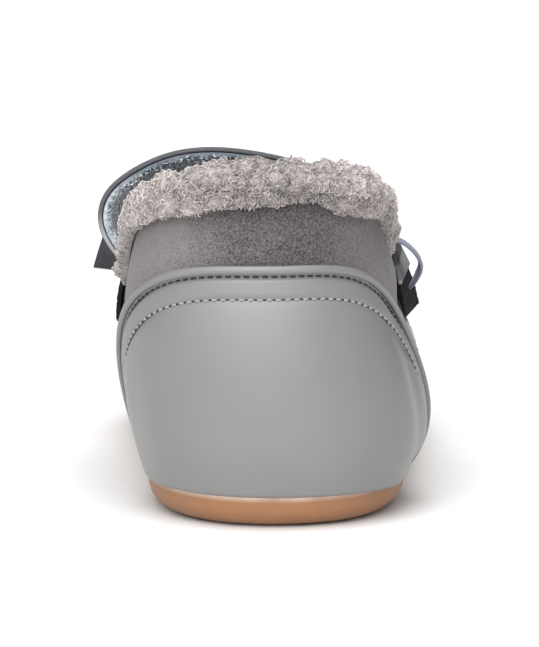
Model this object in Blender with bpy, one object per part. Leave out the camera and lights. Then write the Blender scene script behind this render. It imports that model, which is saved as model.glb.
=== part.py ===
"""Toddler's fleece-lined mary jane sneaker, right foot, standing empty on its sole.

Lengths are millimetres, and MM turns them into Blender's metres. Tables count along the shoe from the
back of the heel. The finished model has +Y towards the toe, +X towards the outer side of the foot, +Z up
and the floor at z = 0, with the origin on the floor under the middle of the sole.
"""

import math

import bpy
import numpy as np

MM = 0.001
GAP = 0.3  # between pieces that touch on the real shoe
OVERLAY_GAP = 0.45  # the same under an overlay, whose facets cross those of the upper

# Sole
SOLE_LENGTH = 146.0  # along the seat, where the upper meets the sole
SEAT_HEIGHT = 5.6  # top of the sole above its flat underside
TOE_SPRING = 4.0  # lift of the toe tip
SPRING_START = 98.0  # from the heel: the ball, where the lift begins
INSOLE_THICKNESS = 2.4
INSOLE_INSET = 2.6  # from the seat outline, inside the wall of the upper

# Upper and its overlays
UPPER_WALL = 2.0
OVERLAY_THICKNESS = 1.1
FACING_THICKNESS = 0.8
COUNTER_BACK_HEIGHT = 51.0  # top of the heel counter, at the back seam
COUNTER_HALF_SPAN = 2.25  # rows of the last that the counter takes each way from the back of the heel
COUNTER_TIP = 2.5  # rows to its front edge
COUNTER_REACH = 2.66  # rows to where its top edge would meet the seat, past the front edge
COUNTER_ROUND = 3.5  # how fast the counter's top edge falls away to the sides
BINDING_WIDTH = 2.0  # folded edge along the top of the counter
BINDING_THICKNESS = 0.5  # how far that fold stands proud of the counter
VAMP_HALF_SPAN = 4.5  # rows of the last each way from the toe tip
FACING_HALF_SPAN = 4.25
FACING_DEPTH_THROAT = 8.0  # below the topline, at the middle of the throat
FACING_DEPTH_SIDE = 18.0  # below the topline, under the strap
FACING_FULL_ROW = 3.4  # rows from the toe tip to where it is that deep
PAD_THICKNESS = 0.9  # loop tape on the facing, under the inner end of the strap
PAD_ROWS = (-4.25, -3.5)  # rows of the last from the toe tip
PAD_TOP = 0.8  # below the topline
PAD_DEPTH = 16.5
TAB_WIDTH = 12.5  # tape tab that carries on from the outer end of the strap
TAB_THICKNESS = 1.3
TAB_FLARE = 12.0  # degrees by which its front edge turns outwards

# Fleece collar, folded over the topline from one side of the strap round the heel to the other
FLEECE_HALF_SPAN = 3.625  # rows of the last each way from the back of the heel
FLEECE_OUTER_FALL = 4.8  # how far it hangs down over the outside of the wall
FLEECE_END_FALL = 8.4  # the same at the end on the inner side of the foot
FLEECE_END_START = 1.5  # rows from the back of the heel to where it begins to hang lower there
FLEECE_LINING_FALL = 9.0  # how far it hangs down over the inside of the wall
FLEECE_PILE = 3.4
FLEECE_EDGE = 0.9  # pile left at the two long edges
LOCK_LENGTH = 7.0  # spacing of the curls along the collar
LOCK_DEPTH = 0.75  # how far the curls rise and fall

# Strap
STRAP_THICKNESS = 1.3
STRAP_LINING = 1.2
RIBBON_WIDTH = 4.6
RIBBON_THICKNESS = 0.8

# Mesh fineness
ROW_STEP = 0.25  # rows of the last from one point to the next, around the shoe
FLEECE_ROW_STEP = ROW_STEP / 2
RIB_STEPS = 15  # points from the sole up to the topline
PROBE_STEPS = 60  # points along a rib when a height or a distance on it is looked up

# The last. One row for each rib, which climbs from the seat to the topline as a cubic Bezier curve:
# foot_x, foot_y: where it leaves the seat; out, rise: the first handle, outwards and up from there;
# reach, drop: the second handle, outwards and down from the topline; top_x, top_y, top_z: the topline.
LAST_COLUMNS = ("foot_x", "foot_y", "out", "rise", "reach", "drop", "top_x", "top_y", "top_z")
LAST_ROWS = {
    "toe_tip": (-2.0, 146.0, 5.0, 20.0, 30.0, 3.0, -1.0, 92.0, 38.6),
    "outer_toe": (17.0, 140.0, 5.0, 19.0, 26.0, 3.0, 6.5, 91.0, 38.7),
    "outer_front": (28.9, 123.0, 4.5, 16.3, 15.8, 3.5, 13.6, 87.5, 39.4),
    "outer_ball": (31.0, 101.0, 4.4, 14.6, 6.8, 5.0, 19.0, 79.0, 42.0),
    "outer_waist": (27.8, 74.0, 9.2, 15.1, 1.5, 11.0, 22.4, 64.0, 46.4),
    "outer_shank": (25.2, 48.0, 13.9, 14.8, -3.4, 18.0, 22.4, 44.0, 54.0),
    "outer_heel": (23.6, 22.0, 12.9, 14.8, -3.0, 19.0, 18.8, 20.0, 62.2),
    "outer_back": (14.2, 5.6, 8.6, 14.8, 0.3, 18.0, 10.0, 7.6, 65.4),
    "heel_back": (0.0, 1.0, 6.5, 15.0, 2.2, 18.0, -2.0, 3.8, 66.4),
    "inner_back": (-13.8, 5.6, 6.9, 16.5, 3.5, 18.0, -14.8, 7.6, 65.6),
    "inner_heel": (-22.6, 22.0, 7.3, 19.5, 5.5, 18.0, -24.0, 20.0, 62.4),
    "inner_shank": (-22.2, 48.0, 7.7, 19.5, 5.5, 15.0, -26.0, 44.0, 53.6),
    "inner_waist": (-22.4, 74.0, 7.1, 17.8, 5.7, 10.0, -24.6, 64.0, 46.0),
    "inner_ball": (-24.4, 101.0, 5.2, 16.0, 10.5, 5.0, -20.0, 79.0, 41.6),
    "inner_front": (-24.8, 123.0, 4.8, 17.0, 17.0, 3.5, -14.0, 87.5, 39.2),
    "inner_toe": (-18.0, 139.0, 5.0, 19.0, 25.0, 3.0, -8.0, 91.0, 38.7),
}
HEEL_ROW = list(LAST_ROWS).index("heel_back")

# Side of the sole, from the floor up: offset outwards from the seat outline, and height.
SOLE_COLUMNS = ("offset", "height")
SOLE_ROWS = {
    "tread": (-4.6, 0.0),
    "tread_round": (-1.6, 0.55),
    "lower_round": (0.4, 1.9),
    "side": (1.5, 3.7),
    "rim": (1.9, 5.1),
    "rim_edge": (1.5, SEAT_HEIGHT),
}

# Middle line of the strap's inner face, from the inner side of the foot over the instep to the outer
# side: x, y, z, the tilt of the band towards the toe and the flare of its front edge towards the outer
# side, both in degrees, and its width.
STRAP_COLUMNS = ("x", "y", "z", "tilt", "flare", "width")
STRAP_ROWS = {
    "inner_end": (-32.3, 68.0, 43.2, 3.0, -8.0, 18.0),
    "inner_rise": (-32.7, 68.0, 50.0, 6.0, -7.0, 18.5),
    "inner_bend": (-29.8, 68.0, 56.8, 14.0, -4.0, 19.5),
    "inner_crown": (-21.6, 68.0, 62.0, 21.0, -2.0, 20.5),
    "crown": (-9.6, 67.5, 63.6, 24.0, 0.0, 21.0),
    "outer_crown": (4.5, 67.5, 61.8, 22.0, 1.0, 20.5),
    "outer_bend": (17.4, 68.0, 56.6, 16.0, 3.0, 19.5),
    "outer_fall": (25.6, 68.5, 48.8, 9.0, 6.0, 18.0),
    "outer_end": (28.8, 69.0, 40.0, 4.0, 10.0, 16.0),
}

# Middle line of the ribbon, from under the fleece out into the open and back to the strap.
RIBBON_COLUMNS = ("x", "y", "z")
RIBBON_ROWS = {
    "collar_end": (25.8, 54.4, 38.8),
    "collar_rise": (27.9, 54.8, 43.8),
    "over": (28.9, 56.2, 47.6),
    "far": (31.6, 58.8, 45.0),
    "touch": (31.0, 62.4, 41.8),
    "strap_end": (31.0, 65.0, 40.4),
}

# Middle line of the tape tab, from the strap's outer end down.
TAB_ROWS = {
    "strap_end": (29.1, 69.1, 39.5),
    "middle": (29.8, 69.4, 36.4),
    "tip": (30.6, 69.7, 33.2),
}

# Colours are linear values.
FINISHES = {
    "gum_rubber": ((0.47, 0.27, 0.16), 0.55),
    "grey_leather": ((0.33, 0.33, 0.33), 0.42),
    "taupe_suede": ((0.19, 0.175, 0.18), 0.95),
    "cream_leather": ((0.63, 0.60, 0.56), 0.5),
    "charcoal_suede": ((0.07, 0.07, 0.078), 0.9),
    "grey_fleece": ((0.44, 0.38, 0.36), 1.0),
    "blue_grey_lining": ((0.24, 0.28, 0.33), 0.95),
    "black_loop_tape": ((0.02, 0.02, 0.022), 0.8),
    "grey_ribbon": ((0.2, 0.22, 0.27), 0.7),
}


def column(table, columns, name):
    """One named column of a table, as an array."""
    return np.array([row[columns.index(name)] for row in table.values()])


def spline(values, u, closed):
    """A cubic spline through one value per row, read at the row positions u."""
    count = len(values)
    system = 4 * np.eye(count) + np.eye(count, k=1) + np.eye(count, k=-1)
    pull = 3 * (np.roll(values, -1) - np.roll(values, 1))
    if closed:
        system[0, -1] = system[-1, 0] = 1
    else:
        system[0, 0] = system[-1, -1] = 2
        pull[0] = 3 * (values[1] - values[0])
        pull[-1] = 3 * (values[-1] - values[-2])
    slopes = np.linalg.solve(system, pull)
    row = np.floor(u).astype(int)
    if not closed:
        row = np.clip(row, 0, count - 2)
    part = u - row
    here, there = row % count, (row + 1) % count
    rest = 1 - part
    return (
        values[here] * (1 + 2 * part) * rest**2
        + slopes[here] * part * rest**2
        + values[there] * (1 + 2 * rest) * part**2
        - slopes[there] * rest * part**2
    )


def smooth_step(share):
    """0 to 1 with level ends, for shares from 0 to 1."""
    share = np.clip(share, 0, 1)
    return share**2 * (3 - 2 * share)


def unit(vectors):
    """The vectors at length 1."""
    return vectors / np.linalg.norm(vectors, axis=-1, keepdims=True)


def last_value(name, t):
    """A column of the last, at the row positions t."""
    return spline(column(LAST_ROWS, LAST_COLUMNS, name), t, closed=True)


def spring(y):
    """Lift of the sole at a distance y from the heel."""
    share = np.clip((y - SPRING_START) / (SOLE_LENGTH - SPRING_START), 0, None)
    return TOE_SPRING * share**2


def outward(t):
    """Plan direction that points out of the seat outline."""
    step = 1e-3
    along_x = last_value("foot_x", t + step) - last_value("foot_x", t - step)
    along_y = last_value("foot_y", t + step) - last_value("foot_y", t - step)
    return unit(np.stack([-along_y, along_x, np.zeros_like(along_x)], -1))


def outline(t, offset, height):
    """The seat outline, moved outwards by offset, at a height over the sole's underside."""
    flat = np.stack([last_value("foot_x", t), last_value("foot_y", t), np.zeros_like(t)], -1)
    points = flat + outward(t) * offset
    points[..., 2] = height + spring(points[..., 1])
    return points


def rib(t, s):
    """Outer face of the upper: s runs from 0 at the seat to 1 at the topline."""
    aside = outward(t)
    up = np.array([0.0, 0.0, 1.0])
    foot = outline(t, 0, SEAT_HEIGHT + GAP)
    top = np.stack([last_value(name, t) for name in ("top_x", "top_y", "top_z")], -1)
    low = foot + aside * last_value("out", t)[..., None] + up * last_value("rise", t)[..., None]
    high = top + aside * last_value("reach", t)[..., None] - up * last_value("drop", t)[..., None]
    s = s[..., None]
    r = 1 - s
    return foot * r**3 + 3 * low * r**2 * s + 3 * high * r * s**2 + top * s**3


def rib_directions(t, s):
    """Unit vectors at a point of the upper: out of its face, and up along its rib."""
    step = 1e-3
    up = rib(t, s + step) - rib(t, s - step)
    along = rib(t + step, s) - rib(t - step, s)
    return unit(np.cross(up, along)), unit(up)


def skin(t, s, offset):
    """The upper's face moved out by offset, and kept clear of the seat."""
    points = rib(t, s) + rib_directions(t, s)[0] * offset
    floor = SEAT_HEIGHT + GAP + spring(points[..., 1])
    points[..., 2] = np.maximum(points[..., 2], floor)
    return points


def probe_ribs(t):
    """Positions s along the ribs at t, and the points there."""
    s = np.linspace(0, 1, PROBE_STEPS)
    grid_t, grid_s = np.meshgrid(t, s, indexing="ij")
    return s, rib(grid_t, grid_s)


def s_at_height(t, height):
    """Where each rib passes a height above the floor."""
    s, points = probe_ribs(t)
    return np.array([np.interp(z, line[:, 2], s) for z, line in zip(height, points)])


def s_below_top(t, distance):
    """Where each rib lies a distance below the topline, measured along it."""
    s, points = probe_ribs(t)
    steps = np.linalg.norm(np.diff(points, axis=1), axis=-1)
    run = np.concatenate([np.zeros((len(t), 1)), np.cumsum(steps, axis=1)], axis=1)
    below = run[:, -1:] - run
    return np.array([np.interp(-d, -line, s) for d, line in zip(distance, below)])


def quads(index):
    """Four-sided faces between neighbouring rows and columns of an index grid."""
    corners = (index[:-1, :-1], index[1:, :-1], index[1:, 1:], index[:-1, 1:])
    return np.stack(corners, -1).reshape(-1, 4)


def slab(outer, inner, ring=False):
    """Closed solid between two grids of points; ring joins the last row to the first."""
    rows, columns = outer.shape[:2]
    points = np.concatenate([outer.reshape(-1, 3), inner.reshape(-1, 3)])
    top = np.arange(rows * columns).reshape(rows, columns)
    if ring:
        top = np.vstack([top, top[:1]])
    under = top + rows * columns
    edges = [(top[::-1, 0], under[::-1, 0]), (top[:, -1], under[:, -1])]
    if not ring:
        edges += [(top[0], under[0]), (top[-1, ::-1], under[-1, ::-1])]
    faces = [quads(top), quads(under[:, ::-1])]
    for near, far in edges:
        faces.append(np.stack([near[:-1], near[1:], far[1:], far[:-1]], -1))
    return points, np.concatenate(faces).tolist()


def ladder(ring):
    """Faces across a closed outline, between points at like distances from its first one."""
    count = len(ring)
    faces = []
    for i in range(count // 2):
        face = [ring[i], ring[i + 1], ring[count - i - 1], ring[-i]]
        faces.append(list(dict.fromkeys(face)))
    return faces


def stacked(outlines):
    """Closed solid through a stack of closed outlines, lowest first."""
    levels, count = len(outlines), len(outlines[0])
    points = np.concatenate(outlines)
    index = np.arange(levels * count).reshape(levels, count)
    around = np.hstack([index, index[:, :1]])
    faces = quads(around).tolist()
    faces += ladder(index[0].tolist())
    faces += [face[::-1] for face in ladder(index[-1].tolist())]
    return points, faces


def signed_volume(points, faces):
    """Six times the volume inside the faces, negative where they point inwards."""
    total = 0.0
    for face in faces:
        for i in range(1, len(face) - 1):
            a, b, c = points[face[0]], points[face[i]], points[face[i + 1]]
            total += np.dot(a, np.cross(b, c))
    return total


def finish_material(name):
    """The Principled material of a finish."""
    material = bpy.data.materials.get(name)
    if material is None:
        colour, roughness = FINISHES[name]
        material = bpy.data.materials.new(name)
        material.use_nodes = True
        shader = material.node_tree.nodes["Principled BSDF"]
        shader.inputs["Base Color"].default_value = (*colour, 1.0)
        shader.inputs["Roughness"].default_value = roughness
        shader.inputs["Metallic"].default_value = 0.0
    return material


def add_piece(name, solid, finish, parent):
    """A named object from a solid's points and faces, in the finished model's frame."""
    points, faces = solid
    if signed_volume(points, faces) < 0:
        faces = [face[::-1] for face in faces]
    placed = (points - np.array([0.0, SOLE_LENGTH / 2, 0.0])) * MM
    mesh = bpy.data.meshes.new(name)
    mesh.from_pydata(placed.tolist(), [], faces)
    mesh.update()
    mesh.shade_smooth()
    mesh.set_sharp_from_angle(angle=math.radians(40))
    mesh.materials.append(finish_material(finish))
    piece = bpy.data.objects.new(name, mesh)
    piece.parent = parent
    bpy.context.scene.collection.objects.link(piece)
    return piece


def rows_around():
    """Row positions all round the last, from the toe tip."""
    return np.arange(0, len(LAST_ROWS), ROW_STEP)


def rows_across(middle, half_span, step=ROW_STEP):
    """Row positions each way from a middle row, as far as half_span."""
    count = round(half_span / step)
    return middle + np.arange(-count, count + 1) * step


def outsole():
    """Rubber sole: the stack of outlines that its side profile gives."""
    t = rows_around()
    offsets = column(SOLE_ROWS, SOLE_COLUMNS, "offset")
    heights = column(SOLE_ROWS, SOLE_COLUMNS, "height")
    return stacked([outline(t, offset, height) for offset, height in zip(offsets, heights)])


def insole():
    """Flat footbed inside the wall of the upper."""
    t = rows_around()
    base = SEAT_HEIGHT + GAP
    return stacked([outline(t, -INSOLE_INSET, base + h) for h in (0, INSOLE_THICKNESS)])


def upper():
    """Vamp and quarters as one wall, open underneath and at the topline."""
    t, s = np.meshgrid(rows_around(), np.linspace(0, 1, RIB_STEPS), indexing="ij")
    return slab(skin(t, s, 0), skin(t, s, -UPPER_WALL), ring=True)


def patch(t, s_low, s_high, steps, low, high):
    """Overlay on the upper between two lines along it, from the offset low to the offset high."""
    share = np.linspace(0, 1, steps)
    s = s_low[:, None] + (s_high - s_low)[:, None] * share
    grid_t = np.repeat(t[:, None], steps, axis=1)
    return slab(skin(grid_t, s, high), skin(grid_t, s, low))


def counter_edge():
    """Row positions along the heel counter's top edge, and its height there."""
    rows = rows_across(HEEL_ROW, COUNTER_HALF_SPAN)
    t = np.concatenate([[HEEL_ROW - COUNTER_TIP], rows, [HEEL_ROW + COUNTER_TIP]])
    share = np.abs(t - HEEL_ROW) / COUNTER_REACH
    rise = COUNTER_BACK_HEIGHT - SEAT_HEIGHT
    return t, SEAT_HEIGHT + rise * np.sqrt(1 - share**COUNTER_ROUND)


def counter():
    """Heel counter, from the seat up to its arched top edge."""
    t, height = counter_edge()
    top = s_at_height(t, height)
    return patch(t, np.zeros_like(t), top, 9, OVERLAY_GAP, OVERLAY_GAP + OVERLAY_THICKNESS)


def counter_binding():
    """Folded edge that lies on the counter along its top."""
    t, height = counter_edge()
    keep = slice(1, -1)
    t, top = t[keep], s_at_height(t, height)[keep]
    low = s_at_height(t, height[keep] - BINDING_WIDTH)
    base = OVERLAY_GAP + OVERLAY_THICKNESS + GAP
    return patch(t, low, top, 3, base, base + BINDING_THICKNESS)


def facing_edge(t):
    """Where the lower edge of the throat facing crosses the ribs."""
    share = smooth_step(np.abs(t) / FACING_FULL_ROW)
    return s_below_top(t, FACING_DEPTH_THROAT + (FACING_DEPTH_SIDE - FACING_DEPTH_THROAT) * share)


def facing():
    """Charcoal band round the throat, from under the strap on one side to the other."""
    t = rows_across(0, FACING_HALF_SPAN)
    return patch(t, facing_edge(t), np.ones_like(t), 5, OVERLAY_GAP, OVERLAY_GAP + FACING_THICKNESS)


def inner_side_pad():
    """Loop tape on the inner side of the facing, where the strap's inner end is pressed on."""
    count = round((PAD_ROWS[1] - PAD_ROWS[0]) / ROW_STEP) + 1
    t = np.linspace(*PAD_ROWS, count)
    top = s_below_top(t, np.full_like(t, PAD_TOP))
    low = s_below_top(t, np.full_like(t, PAD_DEPTH))
    base = OVERLAY_GAP + FACING_THICKNESS + GAP
    return patch(t, low, top, 5, base, base + PAD_THICKNESS)


def vamp():
    """Toe panel, from the seat up to the facing."""
    t = rows_across(0, VAMP_HALF_SPAN)
    seam = 0.008  # gap to the facing, as a share of a rib
    top = facing_edge(t) - seam
    return patch(t, np.zeros_like(t), top, 8, OVERLAY_GAP, OVERLAY_GAP + OVERLAY_THICKNESS)


def fleece_path(t):
    """Points over the topline, outside to inside, and the directions in which the pile stands there."""
    points, directions = [], []
    top = np.ones_like(t)
    towards_end = (t - HEEL_ROW - FLEECE_END_START) / (FLEECE_HALF_SPAN - FLEECE_END_START)
    outer_fall = FLEECE_OUTER_FALL + (FLEECE_END_FALL - FLEECE_OUTER_FALL) * smooth_step(towards_end)
    for share in (1.0, 0.72, 0.4, 0.0):
        s = s_below_top(t, outer_fall * share)
        points.append(rib(t, s))
        directions.append(rib_directions(t, s)[0])
    aside, up = rib_directions(t, top)
    for turn in (45, 90, 135):
        inwards = (turn - 45) / 90 * UPPER_WALL
        points.append(rib(t, top) - aside * inwards)
        directions.append(aside * math.cos(math.radians(turn)) + up * math.sin(math.radians(turn)))
    for share in (0.0, 0.5, 1.0):
        s = s_below_top(t, np.full_like(t, FLEECE_LINING_FALL * share))
        aside = rib_directions(t, s)[0]
        points.append(rib(t, s) - aside * UPPER_WALL)
        directions.append(-aside)
    return np.stack(points, 1), np.stack(directions, 1)


def fleece_collar():
    """Curly pile folded over the topline; its locks are waves that cross along and over the fold."""
    t = rows_across(HEEL_ROW, FLEECE_HALF_SPAN, FLEECE_ROW_STEP)
    points, directions = fleece_path(t)
    run = np.linalg.norm(np.diff(points, axis=0), axis=-1).cumsum(axis=0)
    run = np.concatenate([np.zeros((1, run.shape[1])), run])
    over = np.arange(points.shape[1])[None, :]
    wave = 2 * math.pi / LOCK_LENGTH
    locks = np.sin(wave * run + 1.9 * over) + np.sin(1.37 * wave * run - 1.3 * over + 2.0)
    edge = np.ones(points.shape[1])
    edge[[0, -1]] = FLEECE_EDGE / FLEECE_PILE
    pile = (FLEECE_PILE + LOCK_DEPTH / 2 * locks) * edge
    ends = np.ones(len(t))
    ends[[0, -1]] = 0.6
    pile = pile * ends[:, None]
    return slab(points + directions * (GAP + pile[..., None]), points + directions * GAP)


def band(table, columns, u, tilt, flare, width, low, high, steps):
    """Band along a table's middle line, from the offset low to the offset high off its face."""
    step = 1e-3

    def middle(u):
        return np.stack([spline(column(table, columns, axis), u, closed=False) for axis in "xyz"], -1)

    along = unit(middle(u + step) - middle(u - step))
    lean, turn = np.radians(tilt), np.radians(flare)
    across = np.stack([np.cos(lean) * np.sin(turn), np.cos(lean) * np.cos(turn), -np.sin(lean)], -1)
    face = unit(np.cross(along, across))
    across = unit(np.cross(face, along))
    side = np.linspace(-0.5, 0.5, steps)
    grid = middle(u)[:, None] + across[:, None] * (width[:, None] * side)[..., None]
    return slab(grid + face[:, None] * high, grid + face[:, None] * low)


def strap_band(start, end, low, high, trim, steps):
    """Part of the strap between two of its rows, narrower by trim."""
    u = np.linspace(start, end, steps)
    tilt, flare, width = (
        spline(column(STRAP_ROWS, STRAP_COLUMNS, name), u, closed=False)
        for name in ("tilt", "flare", "width")
    )
    return band(STRAP_ROWS, STRAP_COLUMNS, u, tilt, flare, width - trim, low, high, steps=4)


def strap():
    """Outer leather of the strap."""
    return strap_band(0, len(STRAP_ROWS) - 1, 0, STRAP_THICKNESS, 0, steps=37)


def strap_lining():
    """Soft lining under the strap."""
    ends = 0.06  # rows of the strap left bare at each end
    return strap_band(ends, len(STRAP_ROWS) - 1 - ends, -GAP - STRAP_LINING, -GAP, 0.8, steps=33)


def strap_tab():
    """Stiff tape that carries on from the strap's outer end and stands a little off the side."""
    u = np.linspace(0, len(TAB_ROWS) - 1, 5)
    level = np.zeros_like(u)
    flare, width = np.full_like(u, TAB_FLARE), np.full_like(u, TAB_WIDTH)
    return band(TAB_ROWS, RIBBON_COLUMNS, u, level, flare, width, 0, TAB_THICKNESS, steps=3)


def pull_loop():
    """Ribbon that stands out as an open loop between the collar and the strap."""
    u = np.linspace(0, len(RIBBON_ROWS) - 1, 26)
    width = np.full_like(u, RIBBON_WIDTH)
    level = np.zeros_like(u)
    half = RIBBON_THICKNESS / 2
    return band(RIBBON_ROWS, RIBBON_COLUMNS, u, level, level, width, -half, half, steps=3)


PIECES = {
    "outsole": (outsole, "gum_rubber"),
    "insole": (insole, "grey_fleece"),
    "upper": (upper, "taupe_suede"),
    "heel_counter": (counter, "grey_leather"),
    "counter_binding": (counter_binding, "grey_leather"),
    "vamp": (vamp, "cream_leather"),
    "throat_facing": (facing, "charcoal_suede"),
    "fleece_collar": (fleece_collar, "grey_fleece"),
    "strap": (strap, "charcoal_suede"),
    "strap_lining": (strap_lining, "blue_grey_lining"),
    "inner_side_pad": (inner_side_pad, "black_loop_tape"),
    "strap_tab": (strap_tab, "black_loop_tape"),
    "pull_loop": (pull_loop, "grey_ribbon"),
}


def main():
    for item in list(bpy.data.objects):
        bpy.data.objects.remove(item, do_unlink=True)
    shoe = bpy.data.objects.new("mary_jane_sneaker", None)
    bpy.context.scene.collection.objects.link(shoe)
    for name, (make, finish) in PIECES.items():
        add_piece(name, make(), finish, shoe)


main()
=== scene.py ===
"""Looks of a toddler's fleece-lined mary jane shoe, right foot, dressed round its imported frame.

Tables and sizes are millimetres. Along the shoe they count from the back of the heel. A piece's points
are moved into the frame, which has its origin on the floor under the middle of the sole, when its mesh
is made. +Y points to the toe, +X to the outer side of the foot and +Z up.
"""

import itertools
import logging
import math
from collections.abc import Callable, Sequence
from dataclasses import dataclass, field, replace
from enum import Enum
from functools import cached_property

import bmesh
import bpy
import numpy as np
from bpy.types import Material, NodeSocket as Socket
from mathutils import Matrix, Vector
from numpy.typing import NDArray


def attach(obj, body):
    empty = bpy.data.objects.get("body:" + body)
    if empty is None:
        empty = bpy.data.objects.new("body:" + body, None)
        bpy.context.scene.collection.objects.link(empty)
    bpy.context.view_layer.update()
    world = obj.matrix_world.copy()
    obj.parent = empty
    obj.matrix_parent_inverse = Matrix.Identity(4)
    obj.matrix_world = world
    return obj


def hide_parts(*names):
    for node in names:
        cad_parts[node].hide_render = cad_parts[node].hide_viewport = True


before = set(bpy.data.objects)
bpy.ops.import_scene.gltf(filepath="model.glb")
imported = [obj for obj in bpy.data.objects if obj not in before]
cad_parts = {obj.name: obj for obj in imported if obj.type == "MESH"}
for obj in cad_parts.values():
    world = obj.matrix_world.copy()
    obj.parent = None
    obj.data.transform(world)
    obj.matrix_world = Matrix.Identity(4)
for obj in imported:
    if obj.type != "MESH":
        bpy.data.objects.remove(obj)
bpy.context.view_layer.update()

Array = NDArray[np.float64]
LOG = logging.getLogger("mary_jane")

MM = 0.001
IMAGE_SIZE = (539, 647)  # pixels
STEP = 1e-3  # of a position, for slopes
UP = np.array([0.0, 0.0, 1.0])
WAVE_SCALE = 0.314  # scale of a wave texture whose bands lie 1 unit apart
PUFFS = ((3.4, 1.0), (1.5, 0.5))  # cell and weight of the lumps in a matted bed
WOOL = 0.9  # cell of its finest lumps
GAP = 0.3  # between pieces that touch
OVERLAY_GAP = 0.45  # under an overlay
NOISE_TURN = np.array([[0.36, 0.48, -0.8], [-0.8, 0.6, 0.0], [0.48, 0.64, 0.6]])  # a rotation

# The last. One row for each rib, which climbs from the seat to the topline as a cubic Bezier curve:
# foot_x, foot_y: where it leaves the seat; out, rise: the first handle, outwards and up from there;
# reach, drop: the second handle, outwards and down from the topline; top_x, top_y, top_z: the topline.
LAST_COLUMNS = ("foot_x", "foot_y", "out", "rise", "reach", "drop", "top_x", "top_y", "top_z")
LAST_ROWS = {
    "toe_tip": (-2.0, 146.0, 5.0, 20.0, 30.0, 3.0, -1.0, 92.0, 38.6),
    "outer_toe": (17.0, 140.0, 5.0, 19.0, 26.0, 3.0, 6.5, 91.0, 38.7),
    "outer_front": (28.9, 123.0, 4.5, 16.3, 15.8, 3.5, 13.6, 87.5, 39.4),
    "outer_ball": (31.0, 101.0, 4.4, 14.6, 6.8, 5.0, 19.0, 79.0, 42.0),
    "outer_waist": (27.8, 74.0, 9.2, 15.1, 1.5, 11.0, 22.4, 64.0, 46.4),
    "outer_shank": (25.2, 48.0, 13.9, 14.8, -3.4, 18.0, 22.4, 44.0, 54.0),
    "outer_heel": (23.6, 22.0, 12.9, 14.8, -3.0, 19.0, 18.8, 20.0, 62.2),
    "outer_back": (14.2, 5.6, 8.6, 14.8, 0.3, 18.0, 10.0, 7.6, 65.4),
    "heel_back": (0.0, 1.0, 6.5, 15.0, 2.2, 18.0, -2.0, 3.8, 66.4),
    "inner_back": (-13.8, 5.6, 6.9, 16.5, 3.5, 18.0, -14.8, 7.6, 65.6),
    "inner_heel": (-22.6, 22.0, 7.3, 19.5, 5.5, 18.0, -24.0, 20.0, 62.4),
    "inner_shank": (-22.2, 48.0, 7.7, 19.5, 5.5, 15.0, -26.0, 44.0, 53.6),
    "inner_waist": (-22.4, 74.0, 7.1, 17.8, 5.7, 10.0, -24.6, 64.0, 46.0),
    "inner_ball": (-24.4, 101.0, 5.2, 16.0, 10.5, 5.0, -20.0, 79.0, 41.6),
    "inner_front": (-24.8, 123.0, 4.8, 17.0, 17.0, 3.5, -14.0, 87.5, 39.2),
    "inner_toe": (-18.0, 139.0, 5.0, 19.0, 25.0, 3.0, -8.0, 91.0, 38.7),
}
HEEL_ROW = list(LAST_ROWS).index("heel_back")

# Side of the sole, from the floor up: offset outwards from the seat outline, and height.
SOLE_COLUMNS = ("offset", "height")
SOLE_ROWS = {
    "tread": (-4.6, 0.0),
    "tread_round": (-1.6, 0.55),
    "lower_round": (0.4, 1.9),
    "side": (1.5, 3.7),
    "rim": (1.95, 6.0),
    "rim_edge": (1.5, 6.8),
    "seat": (0.8, 6.1),
}

# Middle line of the strap's inner face, from the inner side of the foot to the outer side: x, y, z, the
# tilt of the band towards the toe and the flare of its front edge, both in degrees, and its width.
STRAP_COLUMNS = ("x", "y", "z", "tilt", "flare", "width")
STRAP_ROWS = {
    "inner_end": (-31.0, 68.0, 41.8, 3.0, -25.0, 18.0),
    "inner_rise": (-32.0, 68.0, 50.0, 6.0, 4.0, 18.5),
    "inner_bend": (-29.8, 68.0, 56.8, 14.0, 11.0, 19.5),
    "inner_crown": (-21.6, 68.0, 61.7, 21.0, 0.0, 20.5),
    "crown": (-9.6, 67.5, 62.9, 24.0, 0.0, 21.0),
    "outer_crown": (4.5, 67.5, 60.9, 22.0, 1.0, 20.5),
    "outer_bend": (17.4, 68.0, 56.6, 16.0, 3.0, 19.5),
    "outer_fall": (24.6, 68.5, 48.8, 9.0, 6.0, 18.0),
    "outer_end": (28.2, 69.0, 40.0, 4.0, 13.0, 16.0),
}

# The same for the ribbon, from under the fleece out into the open and back to the strap, and for the
# tape tab, from the strap's outer end down.
RIBBON_ROWS = {
    "collar_end": (24.0, 57.2, 49.4, 0.0, 0.0, 4.6),
    "collar_rise": (26.6, 57.2, 49.0, 0.0, 0.0, 4.6),
    "over": (29.2, 57.8, 47.4, 0.0, 0.0, 4.6),
    "far": (31.3, 59.6, 44.2, 0.0, 0.0, 4.6),
    "touch": (31.0, 62.4, 41.2, 0.0, 0.0, 4.6),
    "strap_end": (30.4, 65.0, 39.8, 0.0, 0.0, 4.6),
}
TAB_ROWS = {
    "strap_end": (26.9, 69.1, 41.4, 0.0, 14.0, 12.5),
    "middle": (28.4, 69.4, 37.0, 0.0, 16.0, 12.5),
    "tip": (29.4, 69.7, 32.4, 0.0, 18.0, 12.5),
}


class Slot(Enum):
    """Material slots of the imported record."""

    RUBBER = "gum_rubber"
    FOOTBED = "footbed_fleece"
    SUEDE = "taupe_suede"
    LEATHER = "grey_leather"
    CREAM = "cream_leather"
    CHARCOAL = "charcoal_suede"
    FLEECE = "grey_fleece"
    LINING = "blue_grey_lining"
    LOOP_TAPE = "black_loop_tape"
    RIBBON = "grey_ribbon"


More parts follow.
